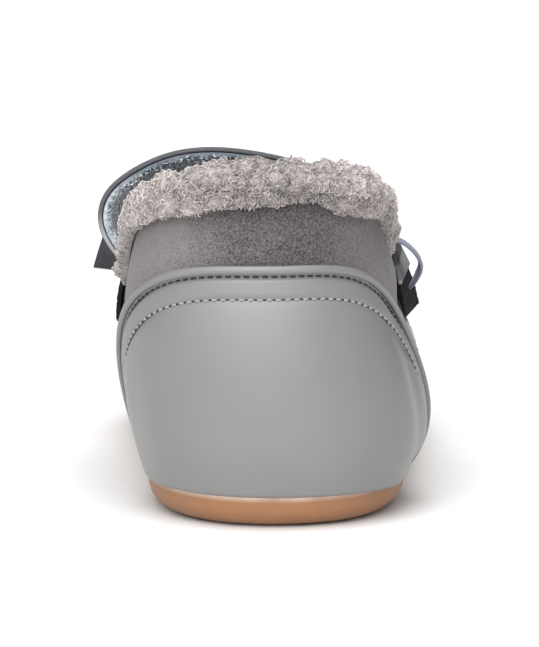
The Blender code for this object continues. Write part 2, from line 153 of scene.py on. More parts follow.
class Side(Enum):
    """Borders of a grid of points, by the axis that runs to them and the end of it."""

    START = (0, False)
    END = (0, True)
    LOW = (1, False)
    HIGH = (1, True)


def column(table: dict[str, tuple[float, ...]], columns: Sequence[str], name: str) -> Array:
    """One named column of a table.

    Args:
        table: rows of numbers by name.
        columns: names of the columns, in order.
        name: the column wanted.

    Returns:
        One number for each row.
    """
    return np.array([row[columns.index(name)] for row in table.values()])


def spline(values: Array, u: Array, closed: bool) -> Array:
    """Cubic spline through one value per row: slopes that keep the bend even from row to row.

    Args:
        values: one value for each row.
        u: row positions, with parts of a row.
        closed: whether the last row leads back to the first.

    Returns:
        The value at each position.
    """
    count = len(values)
    system = 4 * np.eye(count) + np.eye(count, k=1) + np.eye(count, k=-1)
    pull = 3 * (np.roll(values, -1) - np.roll(values, 1))
    if closed:
        system[0, -1] = system[-1, 0] = 1
    else:
        system[0, 0] = system[-1, -1] = 2
        pull[0] = 3 * (values[1] - values[0])
        pull[-1] = 3 * (values[-1] - values[-2])
    slopes = np.linalg.solve(system, pull)
    row = np.floor(u).astype(int)
    if not closed:
        row = np.clip(row, 0, count - 2)
    part = u - row
    here, there = row % count, (row + 1) % count
    rest = 1 - part
    start = values[here] * (1 + 2 * part) * rest**2 + slopes[here] * part * rest**2
    return start + values[there] * (1 + 2 * rest) * part**2 - slopes[there] * rest * part**2


def smooth_step(share: Array) -> Array:
    """0 to 1 with level ends, for shares from 0 to 1: three times the square less twice the cube."""
    share = np.clip(share, 0, 1)
    return share**2 * (3 - 2 * share)


def unit(vectors: Array) -> Array:
    """The vectors at length 1."""
    return vectors / np.linalg.norm(vectors, axis=-1, keepdims=True)


def round_over(distance: Array, radius: float) -> Array:
    """Quarter circle: 0 at a border, 1 from a radius inwards on."""
    share = np.clip(distance / radius, 0, 1)
    return np.sqrt(1 - (1 - share) ** 2)


def noise(points: Array, size: float, seed: int) -> Array:
    """Smooth random field: random values on a turned lattice of cells, blended between their corners.

    Args:
        points: places in millimetres.
        size: width of a cell.
        seed: picks the field.

    Returns:
        A value from -1 to 1 at each place.
    """
    cell = points @ NOISE_TURN / size
    base = np.floor(cell)
    part = smooth_step(cell - base)
    total = np.zeros(points.shape[:-1])
    primes = np.array([374761393, 668265263, 1442695041], np.uint32)
    for corner in itertools.product((0, 1), repeat=3):
        key = ((base + corner).astype(np.int64).astype(np.uint32) * primes).sum(-1, dtype=np.uint32)
        key = (key ^ np.uint32(seed * 2654435 + 97)) * np.uint32(1274126177)
        key = (key ^ (key >> np.uint32(15))) * np.uint32(2246822519)
        value = (key ^ (key >> np.uint32(13))) / 2.0**31 - 1
        total += value * np.where(corner, part, 1 - part).prod(-1)
    return total


def arc_length(points: Array, axis: int = 0) -> Array:
    """Distance along lines of points, from their first one."""
    steps = np.linalg.norm(np.diff(points, axis=axis), axis=-1)
    start = np.zeros_like(np.take(steps, [0], axis=axis))
    return np.concatenate([start, np.cumsum(steps, axis=axis)], axis=axis)


def border_distance(grid: Array, sides: Sequence[Side]) -> Array:
    """Distance of each point of a grid to the nearest of some borders, along the grid's lines.

    Args:
        grid: rows and columns of points.
        sides: the borders that count.

    Returns:
        One distance for each point.
    """
    nearest = np.full(grid.shape[:2], np.inf)
    for side in sides:
        axis, far = side.value
        run = arc_length(grid, axis)
        if far:
            run = np.take(run, [-1], axis=axis) - run
        nearest = np.minimum(nearest, run)
    return nearest


def bell(x: Array, middle: float, width: float) -> Array:
    """Bell curve: 1 at the middle, falling with the square of the distance from it in widths."""
    return np.exp(-(((x - middle) / width) ** 2))


def at_run(line: Array, run: Array, at: Array) -> Array:
    """Points of a line at distances along it, where run is the distance of each of its points."""
    return np.stack([np.interp(at, run, line[:, i]) for i in range(3)], -1)


def sample(grid: Array, u: Array, v: Array) -> Array:
    """Values of a grid at shares u of its rows and v of its columns, blended between its points."""
    row = np.clip(u, 0, 1) * (grid.shape[0] - 1)
    col = np.clip(v, 0, 1) * (grid.shape[1] - 1)
    i = np.minimum(row.astype(int), grid.shape[0] - 2)
    j = np.minimum(col.astype(int), grid.shape[1] - 2)
    a, b = (row - i)[..., None], (col - j)[..., None]
    near = grid[i, j] * (1 - b) + grid[i, j + 1] * b
    far = grid[i + 1, j] * (1 - b) + grid[i + 1, j + 1] * b
    return near * (1 - a) + far * a


@dataclass
class Surface:
    """A mesh in the making: points, blocks of faces with like numbers of corners, and values per point."""

    points: Array
    faces: list[Array]
    marks: dict[str, Array] = field(default_factory=dict)

    def mark(self, name: str, first: Array, second: Array) -> None:
        """Keep a value for each point of a closed sheet, of its first grid and then of its second."""
        self.marks[name] = np.concatenate([first.ravel(), second.ravel()])

    def volume(self) -> float:
        """Signed volume inside the faces, from the fans of triangles that they split into."""
        total = 0.0
        for block in self.faces:
            first = self.points[block[:, 0]]
            for i in range(1, block.shape[1] - 1):
                second, third = self.points[block[:, i]], self.points[block[:, i + 1]]
                total += float(np.einsum("ij,ij->", first, np.cross(second, third)))
        return total / 6

    def facing_out(self) -> "Surface":
        """The same surface, with its faces turned round if they point inwards."""
        if self.volume() < 0:
            self.faces = [block[:, ::-1] for block in self.faces]
        return self


def joined(parts: Sequence[Surface]) -> Surface:
    """Several surfaces as one, with the marks that the first of them has."""
    starts = np.cumsum([0] + [len(part.points) for part in parts])
    faces = [block + start for part, start in zip(parts, starts) for block in part.faces]
    marks = {name: np.concatenate([part.marks[name] for part in parts]) for name in parts[0].marks}
    return Surface(np.concatenate([part.points for part in parts]), faces, marks)


def quads(index: NDArray[np.int64]) -> Array:
    """Four-sided faces between neighbouring rows and columns of an index grid."""
    corners = (index[:-1, :-1], index[1:, :-1], index[1:, 1:], index[:-1, 1:])
    return np.stack(corners, -1).reshape(-1, 4)


def open_sheet(grid: Array) -> Surface:
    """One layer of faces over a grid of points."""
    index = np.arange(grid.shape[0] * grid.shape[1]).reshape(grid.shape[:2])
    return Surface(grid.reshape(-1, 3), [quads(index)])


def closed_sheet(outer: Array, inner: Array, ring: bool = False) -> Surface:
    """Closed solid between two grids of points.

    Args:
        outer: rows and columns of points on one face.
        inner: the same on the other face.
        ring: whether the last row joins the first.

    Returns:
        The solid, outer points first.
    """
    rows, columns = outer.shape[:2]
    top = np.arange(rows * columns).reshape(rows, columns)
    if ring:
        top = np.vstack([top, top[:1]])
    under = top + rows * columns
    edges = [(top[::-1, 0], under[::-1, 0]), (top[:, -1], under[:, -1])]
    if not ring:
        edges += [(top[0], under[0]), (top[-1, ::-1], under[-1, ::-1])]
    faces = [quads(top), quads(under[:, ::-1])]
    for near, far in edges:
        faces.append(np.stack([near[:-1], near[1:], far[1:], far[:-1]], -1))
    return Surface(np.concatenate([outer.reshape(-1, 3), inner.reshape(-1, 3)]), faces)


def strip_sheet(grid: Array, face: Array, thickness: float, full: Array, relief: Array) -> Surface:
    """Closed strip that stands on a grid.

    Args:
        grid: points of its inner face.
        face: directions off that face.
        thickness: where it is full.
        full: share of the thickness at each point.
        relief: how far the outer face moves out.

    Returns:
        The strip, outer points first.
    """
    half = thickness / 2
    outer = grid + face * (half + half * full + relief)[..., None]
    return closed_sheet(outer, grid + face * (half - half * full)[..., None])


def across(ring: Array, steps: int) -> Array:
    """Grid across a closed outline: straight rows between its outer and inner side."""
    half = len(ring) // 2
    outer, inner = ring[: half + 1], np.roll(ring[::-1], 1, axis=0)[: half + 1]
    share = np.linspace(0, 1, steps)[:, None]
    return outer[:, None] * (1 - share) + inner[:, None] * share


def tubes(rings: Array) -> Surface:
    """Closed tubes: rings[n, k, m] is corner m of ring k of tube n."""
    count, lengths, corners = rings.shape[:3]
    index = np.arange(count * lengths * corners).reshape(count, lengths, corners)
    around = np.concatenate([index, index[:, :, :1]], axis=2)
    side = (around[:, :-1, :-1], around[:, :-1, 1:], around[:, 1:, 1:], around[:, 1:, :-1])
    caps = np.concatenate([index[:, 0, ::-1], index[:, -1]])
    return Surface(rings.reshape(-1, 3), [np.stack(side, -1).reshape(-1, 4), caps])


def rings_along(path: Array, normal: Array, wide: Array, high: Array, corners: int) -> Array:
    """Ellipses across paths: the middle, plus wide times a cosine aside and high times a sine off the face.

    Args:
        path: points of n paths, in the form [n, k].
        normal: direction off the face at each point.
        wide: half width at each point.
        high: half height at each point.
        corners: points round each ellipse.

    Returns:
        Ring points in the form [n, k, m].
    """
    along = unit(np.gradient(path, axis=1))
    aside = unit(np.cross(normal, along))
    off = np.cross(along, aside)
    turn = np.linspace(0, 2 * math.pi, corners, endpoint=False)[:, None]
    across = aside[:, :, None] * np.cos(turn) * wide[:, :, None, None]
    return path[:, :, None] + across + off[:, :, None] * np.sin(turn) * high[:, :, None, None]


def linear(code: str) -> tuple[float, float, float, float]:
    """Linear colour of an sRGB hex code such as #8c8c8c."""
    srgb = np.array([int(code[i : i + 2], 16) for i in (1, 3, 5)]) / 255
    value = np.where(srgb <= 0.04045, srgb / 12.92, ((srgb + 0.055) / 1.055) ** 2.4)
    return (*value.tolist(), 1.0)


def per_metre(size: float) -> float:
    """Texture scale that gives a feature of a size in millimetres on coordinates in metres."""
    return 1 / (size * MM)


def add_node(
    tree: bpy.types.NodeTree, kind: str, inputs: dict[str | int, object] | None = None, **settings: object
) -> bpy.types.Node:
    """Add a shader node with its settings and links.

    Args:
        tree: node tree of a material or world.
        kind: type of the node, after ShaderNode.
        inputs: values or other nodes' output sockets, by input name or number.
        settings: properties of the node.

    Returns:
        The new node.
    """
    node = tree.nodes.new("ShaderNode" + kind)
    for name, value in settings.items():
        setattr(node, name, value)
    for key, value in (inputs or {}).items():
        if isinstance(value, Socket):
            tree.links.new(value, node.inputs[key])
        else:
            node.inputs[key].default_value = value
    return node


class Shading:
    """A material in the making: its Principled shader, and the steps that the finishes share."""

    def __init__(self, name: str, roughness: float, **sockets: float) -> None:
        """Start a material.

        Args:
            name: what the real material is.
            roughness: of the Principled shader.
            sockets: further constant inputs of the shader, with _ for a space in their names.
        """
        self.material = bpy.data.materials.new(name)
        self.material.use_nodes = True
        self.tree = self.material.node_tree
        self.shader = self.tree.nodes["Principled BSDF"]
        for key, value in {"Roughness": roughness, **sockets}.items():
            self.shader.inputs[key.replace("_", " ")].default_value = value

    @cached_property
    def place(self) -> Socket:
        """Object coordinates."""
        return add_node(self.tree, "TexCoord").outputs["Object"]

    def mark(self, name: str) -> Socket:
        """A mark of the mesh."""
        return add_node(self.tree, "Attribute", attribute_name=name).outputs["Fac"]

    def noise(self, size: float, detail: float, distortion: float = 0.0) -> Socket:
        """Noise whose features have a size in millimetres."""
        inputs = {"Vector": self.place, "Scale": per_metre(size), "Detail": detail, "Distortion": distortion}
        return add_node(self.tree, "TexNoise", inputs).outputs[0]

    def waves(self, vector: Socket, scale: float, direction: str, **inputs: float) -> Socket:
        """Sine bands along a direction of a vector."""
        inputs = {"Vector": vector, "Scale": scale, **inputs}
        return add_node(self.tree, "TexWave", inputs, bands_direction=direction).outputs["Fac"]

    def maths(self, operation: str, *values: Socket | float, clamp: bool = False) -> Socket:
        """Arithmetic on sockets and numbers."""
        inputs = dict(enumerate(values))
        return add_node(self.tree, "Math", inputs, operation=operation, use_clamp=clamp).outputs[0]

    def spread(self, value: Socket, low: float, high: float, start: float = 0.0, end: float = 1.0) -> Socket:
        """A value that ran from low to high, made to run from start to end."""
        return add_node(self.tree, "MapRange", {0: value, 1: low, 2: high, 3: start, 4: end}).outputs[0]

    def mix(self, share: Socket, first: Socket | str, second: Socket | str) -> Socket:
        """Mix of two colours, which are sockets or hex codes."""
        tones = [linear(tone) if isinstance(tone, str) else tone for tone in (first, second)]
        return add_node(self.tree, "Mix", {0: share, 6: tones[0], 7: tones[1]}, data_type="RGBA").outputs[2]

    def done(
        self, colour: Socket, height: Socket | None = None, strength: float = 0.0, depth: float = 0.0
    ) -> Material:
        """Link up the shader.

        Args:
            colour: its base colour.
            height: relief of the surface.
            strength: of the relief.
            depth: of the relief in millimetres.

        Returns:
            The material.
        """
        self.tree.links.new(colour, self.shader.inputs["Base Color"])
        if height:
            inputs = {"Strength": strength, "Distance": depth * MM, "Height": height}
            self.tree.links.new(add_node(self.tree, "Bump", inputs).outputs[0], self.shader.inputs["Normal"])
        return self.material


# Finishes


@dataclass(frozen=True)
class GumRubber:
    """Moulded gum rubber: warm tan, faintly mottled, with a soft broad shine and a fine matt skin."""

    colour: str = "#9b7050"
    shade: str = "#8b6141"
    # The rim colour is a painted highlight, where light would catch the top edge of the sole.
    rim: str = "#fff0e2"
    mottle: float = 6.0
    grit: float = 0.35

    def material(self) -> Material:
        """Mottle mixes two tans, grit dulls the skin, and the mark called rim paints a pale highlight along
        the top edge, broken up by the mottle.
        """
        make = Shading("moulded_gum_rubber", 0.5, Specular_IOR_Level=0.4)
        cloud = make.noise(self.mottle, 4.0)
        rim_highlight = make.maths("MULTIPLY", make.mark("rim"), cloud)
        tan = make.mix(cloud, self.shade, self.colour)
        return make.done(make.mix(rim_highlight, tan, self.rim), make.noise(self.grit, 2.0), 0.25, 0.05)


@dataclass(frozen=True)
class SmoothLeather:
    """Corrected, pigmented leather: an even colour under a thin glossy film, over a fine pebbled grain."""

    name: str
    colour: str
    shade: str
    grain: float = 0.55
    cloud: float = 14.0
    roughness: float = 0.4
    uneven: float = 0.05  # how far the roughness strays
    coat: float = 0.15

    def material(self) -> Material:
        """Pebbles are Voronoi cells; clouds of tone and gloss lie many millimetres apart."""
        film = {"Coat_Weight": self.coat, "Coat_Roughness": 0.32, "Specular_IOR_Level": 0.5}
        make = Shading(self.name, self.roughness, **film)
        cloud = make.noise(self.cloud, 3.0)
        cells = {"Vector": make.place, "Scale": per_metre(self.grain)}
        pebble = add_node(make.tree, "TexVoronoi", cells, feature="SMOOTH_F1").outputs[0]
        height = make.maths("ADD", pebble, make.noise(self.grain * 0.4, 2.0))
        gloss = make.spread(cloud, 0.0, 1.0, self.roughness - self.uneven, self.roughness + self.uneven)
        make.tree.links.new(gloss, make.shader.inputs["Roughness"])
        return make.done(make.mix(cloud, self.shade, self.colour), height, 0.12, 0.06)


@dataclass(frozen=True)
class Suede:
    """Split leather buffed to a nap: matt, speckled by fibre ends, with wide patches of light and dark, and a
    painted sheen where a mark asks for it.
    """

    name: str
    light: str
    dark: str
    speck: float = 0.36  # drawn coarser than real fibre ends, so that they show
    brush: float = 7.0
    sheen: float = 0.25
    core: str = ""  # pale inside of the leather, which shows where the mark called cut is 1

    def material(self) -> Material:
        """Specks of two sizes, wide patches and the mark called painted_sheen add up to the mix of two tones;
        that mark is painted sheen.
        """
        nap = {"Sheen_Weight": self.sheen, "Sheen_Roughness": 0.5, "Specular_IOR_Level": 0.15}
        make = Shading(self.name, 0.95, **nap)
        specks = make.noise(self.speck, 3.0)
        fine = make.spread(specks, 0.36, 0.68, 0.0, 0.75)
        broad = make.spread(make.noise(self.brush, 2.0), 0.3, 0.7, 0.0, 0.15)
        tufts = make.spread(make.noise(self.speck * 4, 2.0), 0.3, 0.7, 0.0, 0.12)
        share = make.maths("ADD", make.maths("ADD", fine, broad), tufts)
        # The mark adds painted sheen on top of the specks and patches.
        share = make.maths("MULTIPLY_ADD", share, 0.8, make.mark("painted_sheen"))
        tone = make.mix(share, self.dark, self.light)
        if self.core:
            tone = make.mix(make.mark("cut"), tone, self.core)
        return make.done(tone, specks, 0.55, 0.18)


@dataclass(frozen=True)
class Fleece:
    """Curly knitted pile: matt fibres, with painted shade at the roots and painted light on the tips, which
    are hazy.
    """

    name: str
    tip: str
    root: str
    fibre: float = 0.45
    sheen: float = 0.35

    def material(self) -> Material:
        """The mark called tip runs from root to tip and paints shade deep in the pile, and the mark called
        tone_and_painted_light varies from lock to lock and carries painted light.
        """
        haze = {"Sheen_Weight": self.sheen, "Sheen_Roughness": 0.6, "Specular_IOR_Level": 0.1}
        make = Shading(self.name, 1.0, **haze)
        fibres = make.noise(self.fibre, 2.0)
        share = make.maths("ADD", make.mark("tip"), make.mark("tone_and_painted_light"))
        share = make.maths("ADD", share, make.spread(fibres, 0.3, 0.7, -0.15, 0.15), clamp=True)
        return make.done(make.mix(share, self.root, self.tip), fibres, 0.9, 0.35)


@dataclass(frozen=True)
class Ribbon:
    """Woven rayon ribbon: fine ribs across it, with a silky shine along the threads."""

    light: str = "#868d9a"
    dark: str = "#747b88"
    rib: float = 0.55  # drawn coarser than the real weft, so that it shows

    def material(self) -> Material:
        """Waves along the mark called lay, in millimetres, are the ribs of the weave."""
        make = Shading("woven_rayon_ribbon", 0.5, Sheen_Weight=0.2, Sheen_Roughness=0.4)
        lay = add_node(make.tree, "Attribute", attribute_name="lay").outputs["Vector"]
        ribs = make.waves(lay, WAVE_SCALE / self.rib, "X", Distortion=0.6, Detail=1.0)
        return make.done(make.mix(ribs, self.dark, self.light), ribs, 0.15, 0.05)


@dataclass(frozen=True)
class LoopTape:
    """Napped loop tape: dull black nylon with tangled loops that catch a little light."""

    light: str = "#161518"
    dark: str = "#070708"
    loop: float = 0.5

    def material(self) -> Material:
        """Tangled cells for the loops, lighter on their crowns."""
        make = Shading("napped_loop_tape", 0.7, Specular_IOR_Level=0.2)
        tangle = make.noise(self.loop, 3.0, 1.2)
        return make.done(make.mix(tangle, self.dark, self.light), tangle, 0.5, 0.15)


@dataclass(frozen=True)
class Thread:
    """Bonded polyester thread: two plies laid round each other, with a faint shine."""

    name: str
    light: str
    dark: str
    ply: float = 0.35

    def material(self) -> Material:
        """Slanting bands of two tones stand for the plies."""
        make = Shading(self.name, 0.55, Specular_IOR_Level=0.35)
        plies = make.waves(make.place, WAVE_SCALE * per_metre(self.ply), "DIAGONAL")
        return make.done(make.mix(plies, self.dark, self.light))


GUM = GumRubber()
GREY_LEATHER = SmoothLeather("pigmented_grey_leather", "#7b7b7a", "#747474")
CREAM_LEATHER = SmoothLeather("pigmented_cream_leather", "#b5b0ab", "#aba69f", roughness=0.5, coat=0.1)
TAUPE_SUEDE = Suede("buffed_taupe_suede", "#7e7979", "#2a282b", sheen=0.1)
CHARCOAL_SUEDE = Suede("buffed_charcoal_suede", "#46454b", "#242327", sheen=0.03)
STRAP_SUEDE = replace(CHARCOAL_SUEDE, name="buffed_charcoal_strap_suede", core="#9b9da1")
# The root tones of the fleeces are painted shade deep in the pile, the tip tones painted light on its tops.
COLLAR_FLEECE = Fleece("curly_grey_fleece", "#b8b0ad", "#736b69", sheen=0.4)
LINING_FLEECE = Fleece("short_grey_fleece", "#9a928e", "#645c5b")
STRAP_FLEECE = Fleece("short_blue_grey_fleece", "#ccd2d9", "#656d75", sheen=0.1)
RIBBON = Ribbon()
LOOP_TAPE = LoopTape()
GREY_THREAD = Thread("bonded_grey_thread", "#9c9c9c", "#848484")
# Painted shadow: thread and needle holes painted dark as if in shade; the thread itself is grey.
SHADOW_THREAD = Thread("painted_shadow_thread", "#3a3a3a", "#1f1f1f")
CHARCOAL_THREAD = Thread("bonded_charcoal_thread", "#77767d", "#4f4e55")
CREAM_THREAD = Thread("bonded_cream_thread", "#c9c4bd", "#a19c95")


class Bench:
    """Turns surfaces into pieces of the scene, with one material made for each finish."""

    def __init__(self) -> None:
        """Start with no material made."""
        self.materials: dict[object, Material] = {}

    sharp_angle = 60.0  # degrees
    weld_distance = 1e-7  # metres

    def add(
        self,
        name: str,
        surface: Surface,
        finish: object,
        slot: Slot,
        stands_for: Sequence[str] = (),
        weld: bool = False,
    ) -> None:
        """Make a piece that rides on the shoe.

        Args:
            name: the piece's name.
            surface: its points, faces and marks, in millimetres of the tables.
            finish: what gives its material.
            slot: the record's slot for it; not used.
            stands_for: CAD nodes that it replaces.
            weld: whether points that coincide are merged.
        """
        surface.facing_out()
        mesh = bpy.data.meshes.new(name)
        corners = np.concatenate([block.ravel() for block in surface.faces])
        totals = np.concatenate([np.full(len(block), block.shape[1]) for block in surface.faces])
        mesh.vertices.add(len(surface.points))
        placed = (surface.points - np.array([0.0, Last.length / 2, 0.0])) * MM
        mesh.vertices.foreach_set("co", placed.astype(np.float32).ravel())
        mesh.loops.add(len(corners))
        mesh.loops.foreach_set("vertex_index", corners.astype(np.int32))
        mesh.polygons.add(len(totals))
        mesh.polygons.foreach_set("loop_start", (np.cumsum(totals) - totals).astype(np.int32))
        mesh.polygons.foreach_set("loop_total", totals.astype(np.int32))
        for mark, values in surface.marks.items():
            kind, key = ("FLOAT", "value") if values.ndim == 1 else ("FLOAT_VECTOR", "vector")
            attribute = mesh.attributes.new(mark, kind, "POINT")
            attribute.data.foreach_set(key, values.astype(np.float32).ravel())
        mesh.update()
        mesh.validate()
        if weld:
            self.weld(mesh)
        mesh.shade_smooth()
        mesh.set_sharp_from_angle(angle=math.radians(self.sharp_angle))
        mesh.materials.append(self.material(finish))
        piece = bpy.data.objects.new(name, mesh)
        bpy.context.scene.collection.objects.link(piece)
        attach(piece, "root")
        if stands_for:
            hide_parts(*stands_for)
        LOG.info("%s: %d triangles", name, int((totals - 2).sum()))

    def weld(self, mesh: bpy.types.Mesh) -> None:
        """Merge the points of a mesh that coincide."""
        work = bmesh.new()
        work.from_mesh(mesh)
        bmesh.ops.remove_doubles(work, verts=work.verts, dist=self.weld_distance)
        work.to_mesh(mesh)
        work.free()

    def material(self, finish: object) -> Material:
        """The material of a finish, made when it is first asked for."""
        if finish not in self.materials:
            self.materials[finish] = finish.material()
        return self.materials[finish]


class Last:
    """Shape that the shoe is made on: t counts the ribs round it, s runs up a rib from seat to topline."""

    length = 146.0
    seat = 5.6
    spring = 4.0
    spring_start = 98.0
    probes = 80
    tries = 5
    wall_reach = 15.0  # how far a crease reaches through the shoe

    def value(self, name: str, t: Array) -> Array:
        """A column of the last's table at positions t."""
        return spline(column(LAST_ROWS, LAST_COLUMNS, name), t, closed=True)

    def round_rows(self, count: int) -> Array:
        """Even positions t right round the last."""
        return np.linspace(0, len(LAST_ROWS), count, endpoint=False)

    def lift(self, y: Array) -> Array:
        """Toe spring: a square law from the ball to the toe tip."""
        share = np.clip((y - self.spring_start) / (self.length - self.spring_start), 0, None)
        return self.spring * share**2

    def outward(self, t: Array) -> Array:
        """Plan direction out of the seat outline: its tangent turned by a right angle."""
        along_x = self.value("foot_x", t + STEP) - self.value("foot_x", t - STEP)
        along_y = self.value("foot_y", t + STEP) - self.value("foot_y", t - STEP)
        return unit(np.stack([-along_y, along_x, np.zeros_like(along_x)], -1))

    def outline(self, t: Array, offset: Array | float, height: Array | float) -> Array:
        """The seat outline moved outwards by offset, at a height over the sole's underside."""
        flat = np.stack([self.value("foot_x", t), self.value("foot_y", t), np.zeros_like(t)], -1)
        points = flat + self.outward(t) * np.broadcast_to(offset, t.shape)[..., None]
        points[..., 2] = height + self.lift(points[..., 1])
        return points

    def rib(self, t: Array, s: Array) -> Array:
        """Cubic Bezier from seat to topline, with handles out and up below, and out and down above."""
        aside = self.outward(t)
        foot = self.outline(t, 0, self.seat + GAP)
        top = np.stack([self.value(name, t) for name in ("top_x", "top_y", "top_z")], -1)
        low = foot + aside * self.value("out", t)[..., None] + UP * self.value("rise", t)[..., None]
        high = top + aside * self.value("reach", t)[..., None] - UP * self.value("drop", t)[..., None]
        s = s[..., None]
        r = 1 - s
        return foot * r**3 + 3 * low * r**2 * s + 3 * high * r * s**2 + top * s**3

    def directions(self, t: Array, s: Array) -> tuple[Array, Array]:
        """Unit vectors out of the face and up along the rib."""
        up = self.rib(t, s + STEP) - self.rib(t, s - STEP)
        along = self.rib(t + STEP, s) - self.rib(t - STEP, s)
        return unit(np.cross(up, along)), unit(up)

    def skin(self, t: Array, s: Array, offset: Array | float) -> Array:
        """The upper's face moved out by offset, and kept clear of the seat."""
        points = self.rib(t, s) + self.directions(t, s)[0] * np.broadcast_to(offset, t.shape)[..., None]
        points[..., 2] = np.maximum(points[..., 2], self.seat + GAP + self.lift(points[..., 1]))
        return points

    def seam(self, t: Array, s: Array, offset: float) -> tuple[Array, Array]:
        """Points on the offset face, and the directions off it."""
        return self.skin(t, s, offset), self.directions(t, s)[0]

    def probe(self, t: Array) -> tuple[Array, Array]:
        """Positions s along the ribs at t, and the points there."""
        s = np.linspace(0, 1, self.probes)
        return s, self.rib(*np.meshgrid(t, s, indexing="ij"))

    def s_at_height(self, t: Array, height: Array) -> Array:
        """Where each rib passes a height above the floor."""
        s, points = self.probe(t)
        return np.array([np.interp(z, line[:, 2], s) for z, line in zip(height, points)])

    def s_below_top(self, t: Array, distance: Array) -> Array:
        """Where each rib lies a distance below the topline, measured along it."""
        s, points = self.probe(t)
        run = arc_length(points, axis=1)
        below = run[:, -1:] - run
        return np.array([np.interp(-d, -line, s) for d, line in zip(distance, below)])

    def nearest(self, points: Array, t: Array, s: Array, offset: float) -> tuple[Array, Array]:
        """Positions on the offset face nearest to points, by least-squares steps from a first guess.

        Args:
            points: places near the face.
            t: guess of the position round the last.
            s: guess of the position up the rib.
            offset: distance of the face from the upper's.

        Returns:
            The positions t and s.
        """
        for _ in range(self.tries):
            here = self.skin(t, s, offset)
            by_t = (self.skin(t + STEP, s, offset) - here) / STEP
            by_s = (self.skin(t, s + STEP, offset) - here) / STEP
            miss = points - here
            tt, ts, ss = (by_t**2).sum(-1), (by_t * by_s).sum(-1), (by_s**2).sum(-1)
            mt, ms = (by_t * miss).sum(-1), (by_s * miss).sum(-1)
            scale = tt * ss - ts**2
            t = t + (mt * ss - ms * ts) / scale
            s = np.clip(s + (ms * tt - mt * ts) / scale, 0, 1)
        return t, s

    def troughs(self, points: Array, creases: dict[str, tuple[float, ...]]) -> Array:
        """Depth of listed creases: each a bell curve across its line and along it, on its own wall.

        Args:
            points: places on the upper.
            creases: rows of t, s, turn from upright in degrees, length, width and depth.

        Returns:
            How far the face moves out at each place, below 0 in a trough.
        """
        moved = np.zeros(points.shape[:-1])
        for t, s, turn, length, width, depth in creases.values():
            spot, rise = np.array([t]), np.array([s])
            normal, up = (vector[0] for vector in self.directions(spot, rise))
            aside = np.cross(normal, up)
            angle = math.radians(turn)
            along = up * math.cos(angle) + aside * math.sin(angle)
            across = np.cross(normal, along)
            away = points - self.rib(spot, rise)[0]
            far = ((away @ across) / width) ** 2 + ((away @ along) / length) ** 2
            moved -= depth * np.exp(-far - ((away @ normal) / self.wall_reach) ** 2)
        return moved


LAST = Last()


def panel(
    t: Array,
    s_low: Array,
    s_high: Array,
    steps: int,
    low: float,
    high: float,
    turned: Sequence[Side],
    relief: Callable[[Array], Array] | None = None,
    radius: float = 0.7,
) -> Surface:
    """Overlay on the upper: a sheet between two lines along it, rounded over at some borders.

    Args:
        t: positions round the last.
        s_low: position up the rib of the lower line, at each t.
        s_high: the same for the upper line.
        steps: points from line to line, closer together near them.
        low: offset of the sheet's back from the upper's face.
        high: offset of its face.
        turned: the borders that are rounded over.
        relief: gives how far the face moves out at each point.
        radius: of the rounded borders.

    Returns:
        The closed sheet.
    """
    share = 0.5 - 0.5 * np.cos(np.linspace(0, math.pi, steps))
    s = s_low[:, None] + (s_high - s_low)[:, None] * share
    grid_t = np.repeat(t[:, None], steps, axis=1)
    face = LAST.skin(grid_t, s, high)
    offset = low + (high - low) * round_over(border_distance(face, turned), radius)
    if relief:
        offset = offset + relief(face)
    return closed_sheet(LAST.skin(grid_t, s, offset), LAST.skin(grid_t, s, low))


@dataclass(frozen=True)
class StitchRow:
    """Lockstitches along a path: short threads that rise out of one hole and sink into the next."""

    pitch: float = 1.8
    length: float = 1.2
    thread: float = 0.44
    lift: float = 0.12
    hole: float = 0.5
    rings: int = 7
    hole_rings: int = 5
    corners: int = 8

    def spots(self, path: Array, normals: Array, reach: float, count: int) -> tuple[Array, Array]:
        """Points of short stretches, one for each pitch of the path.

        Args:
            path: points of the row.
            normals: directions off the face there.
            reach: length of a stretch.
            count: points in each.

        Returns:
            Points and directions in the form [stretch, point].
        """
        run = arc_length(path)
        middles = np.arange(self.pitch / 2, run[-1] - self.pitch / 2, self.pitch)
        at = middles[:, None] + np.linspace(-reach / 2, reach / 2, count)
        return at_run(path, run, at), unit(at_run(normals, run, at))

    def threads(self, path: Array, normals: Array) -> Surface:
        """Threads: ellipses along each stitch that close at its ends, on a line that arches off the face."""
        points, off = self.spots(path, normals, self.length, self.rings)
        share = np.linspace(-1, 1, self.rings)
        arch = self.lift * (1 - 2 * share**2)
        half = np.broadcast_to(self.thread / 2 * np.sqrt(1.02 - share**4), points.shape[:2])
        return tubes(rings_along(points + off * arch[:, None], off, half, half, self.corners))

    def holes(self, path: Array, normals: Array) -> Surface:
        """Needle holes between the stitches: low domes a hair above the face, to be painted as the shade
        inside the holes.
        """
        run = arc_length(path)
        moved = (at_run(line, run, run + self.pitch / 2) for line in (path, normals))
        points, off = self.spots(*moved, self.hole, self.hole_rings)
        share = np.linspace(-1, 1, self.hole_rings)
        wide = np.broadcast_to(self.hole / 2 * np.sqrt(1.04 - share**2), points.shape[:2])
        return tubes(rings_along(points, off, wide, wide * 0.3, self.corners))


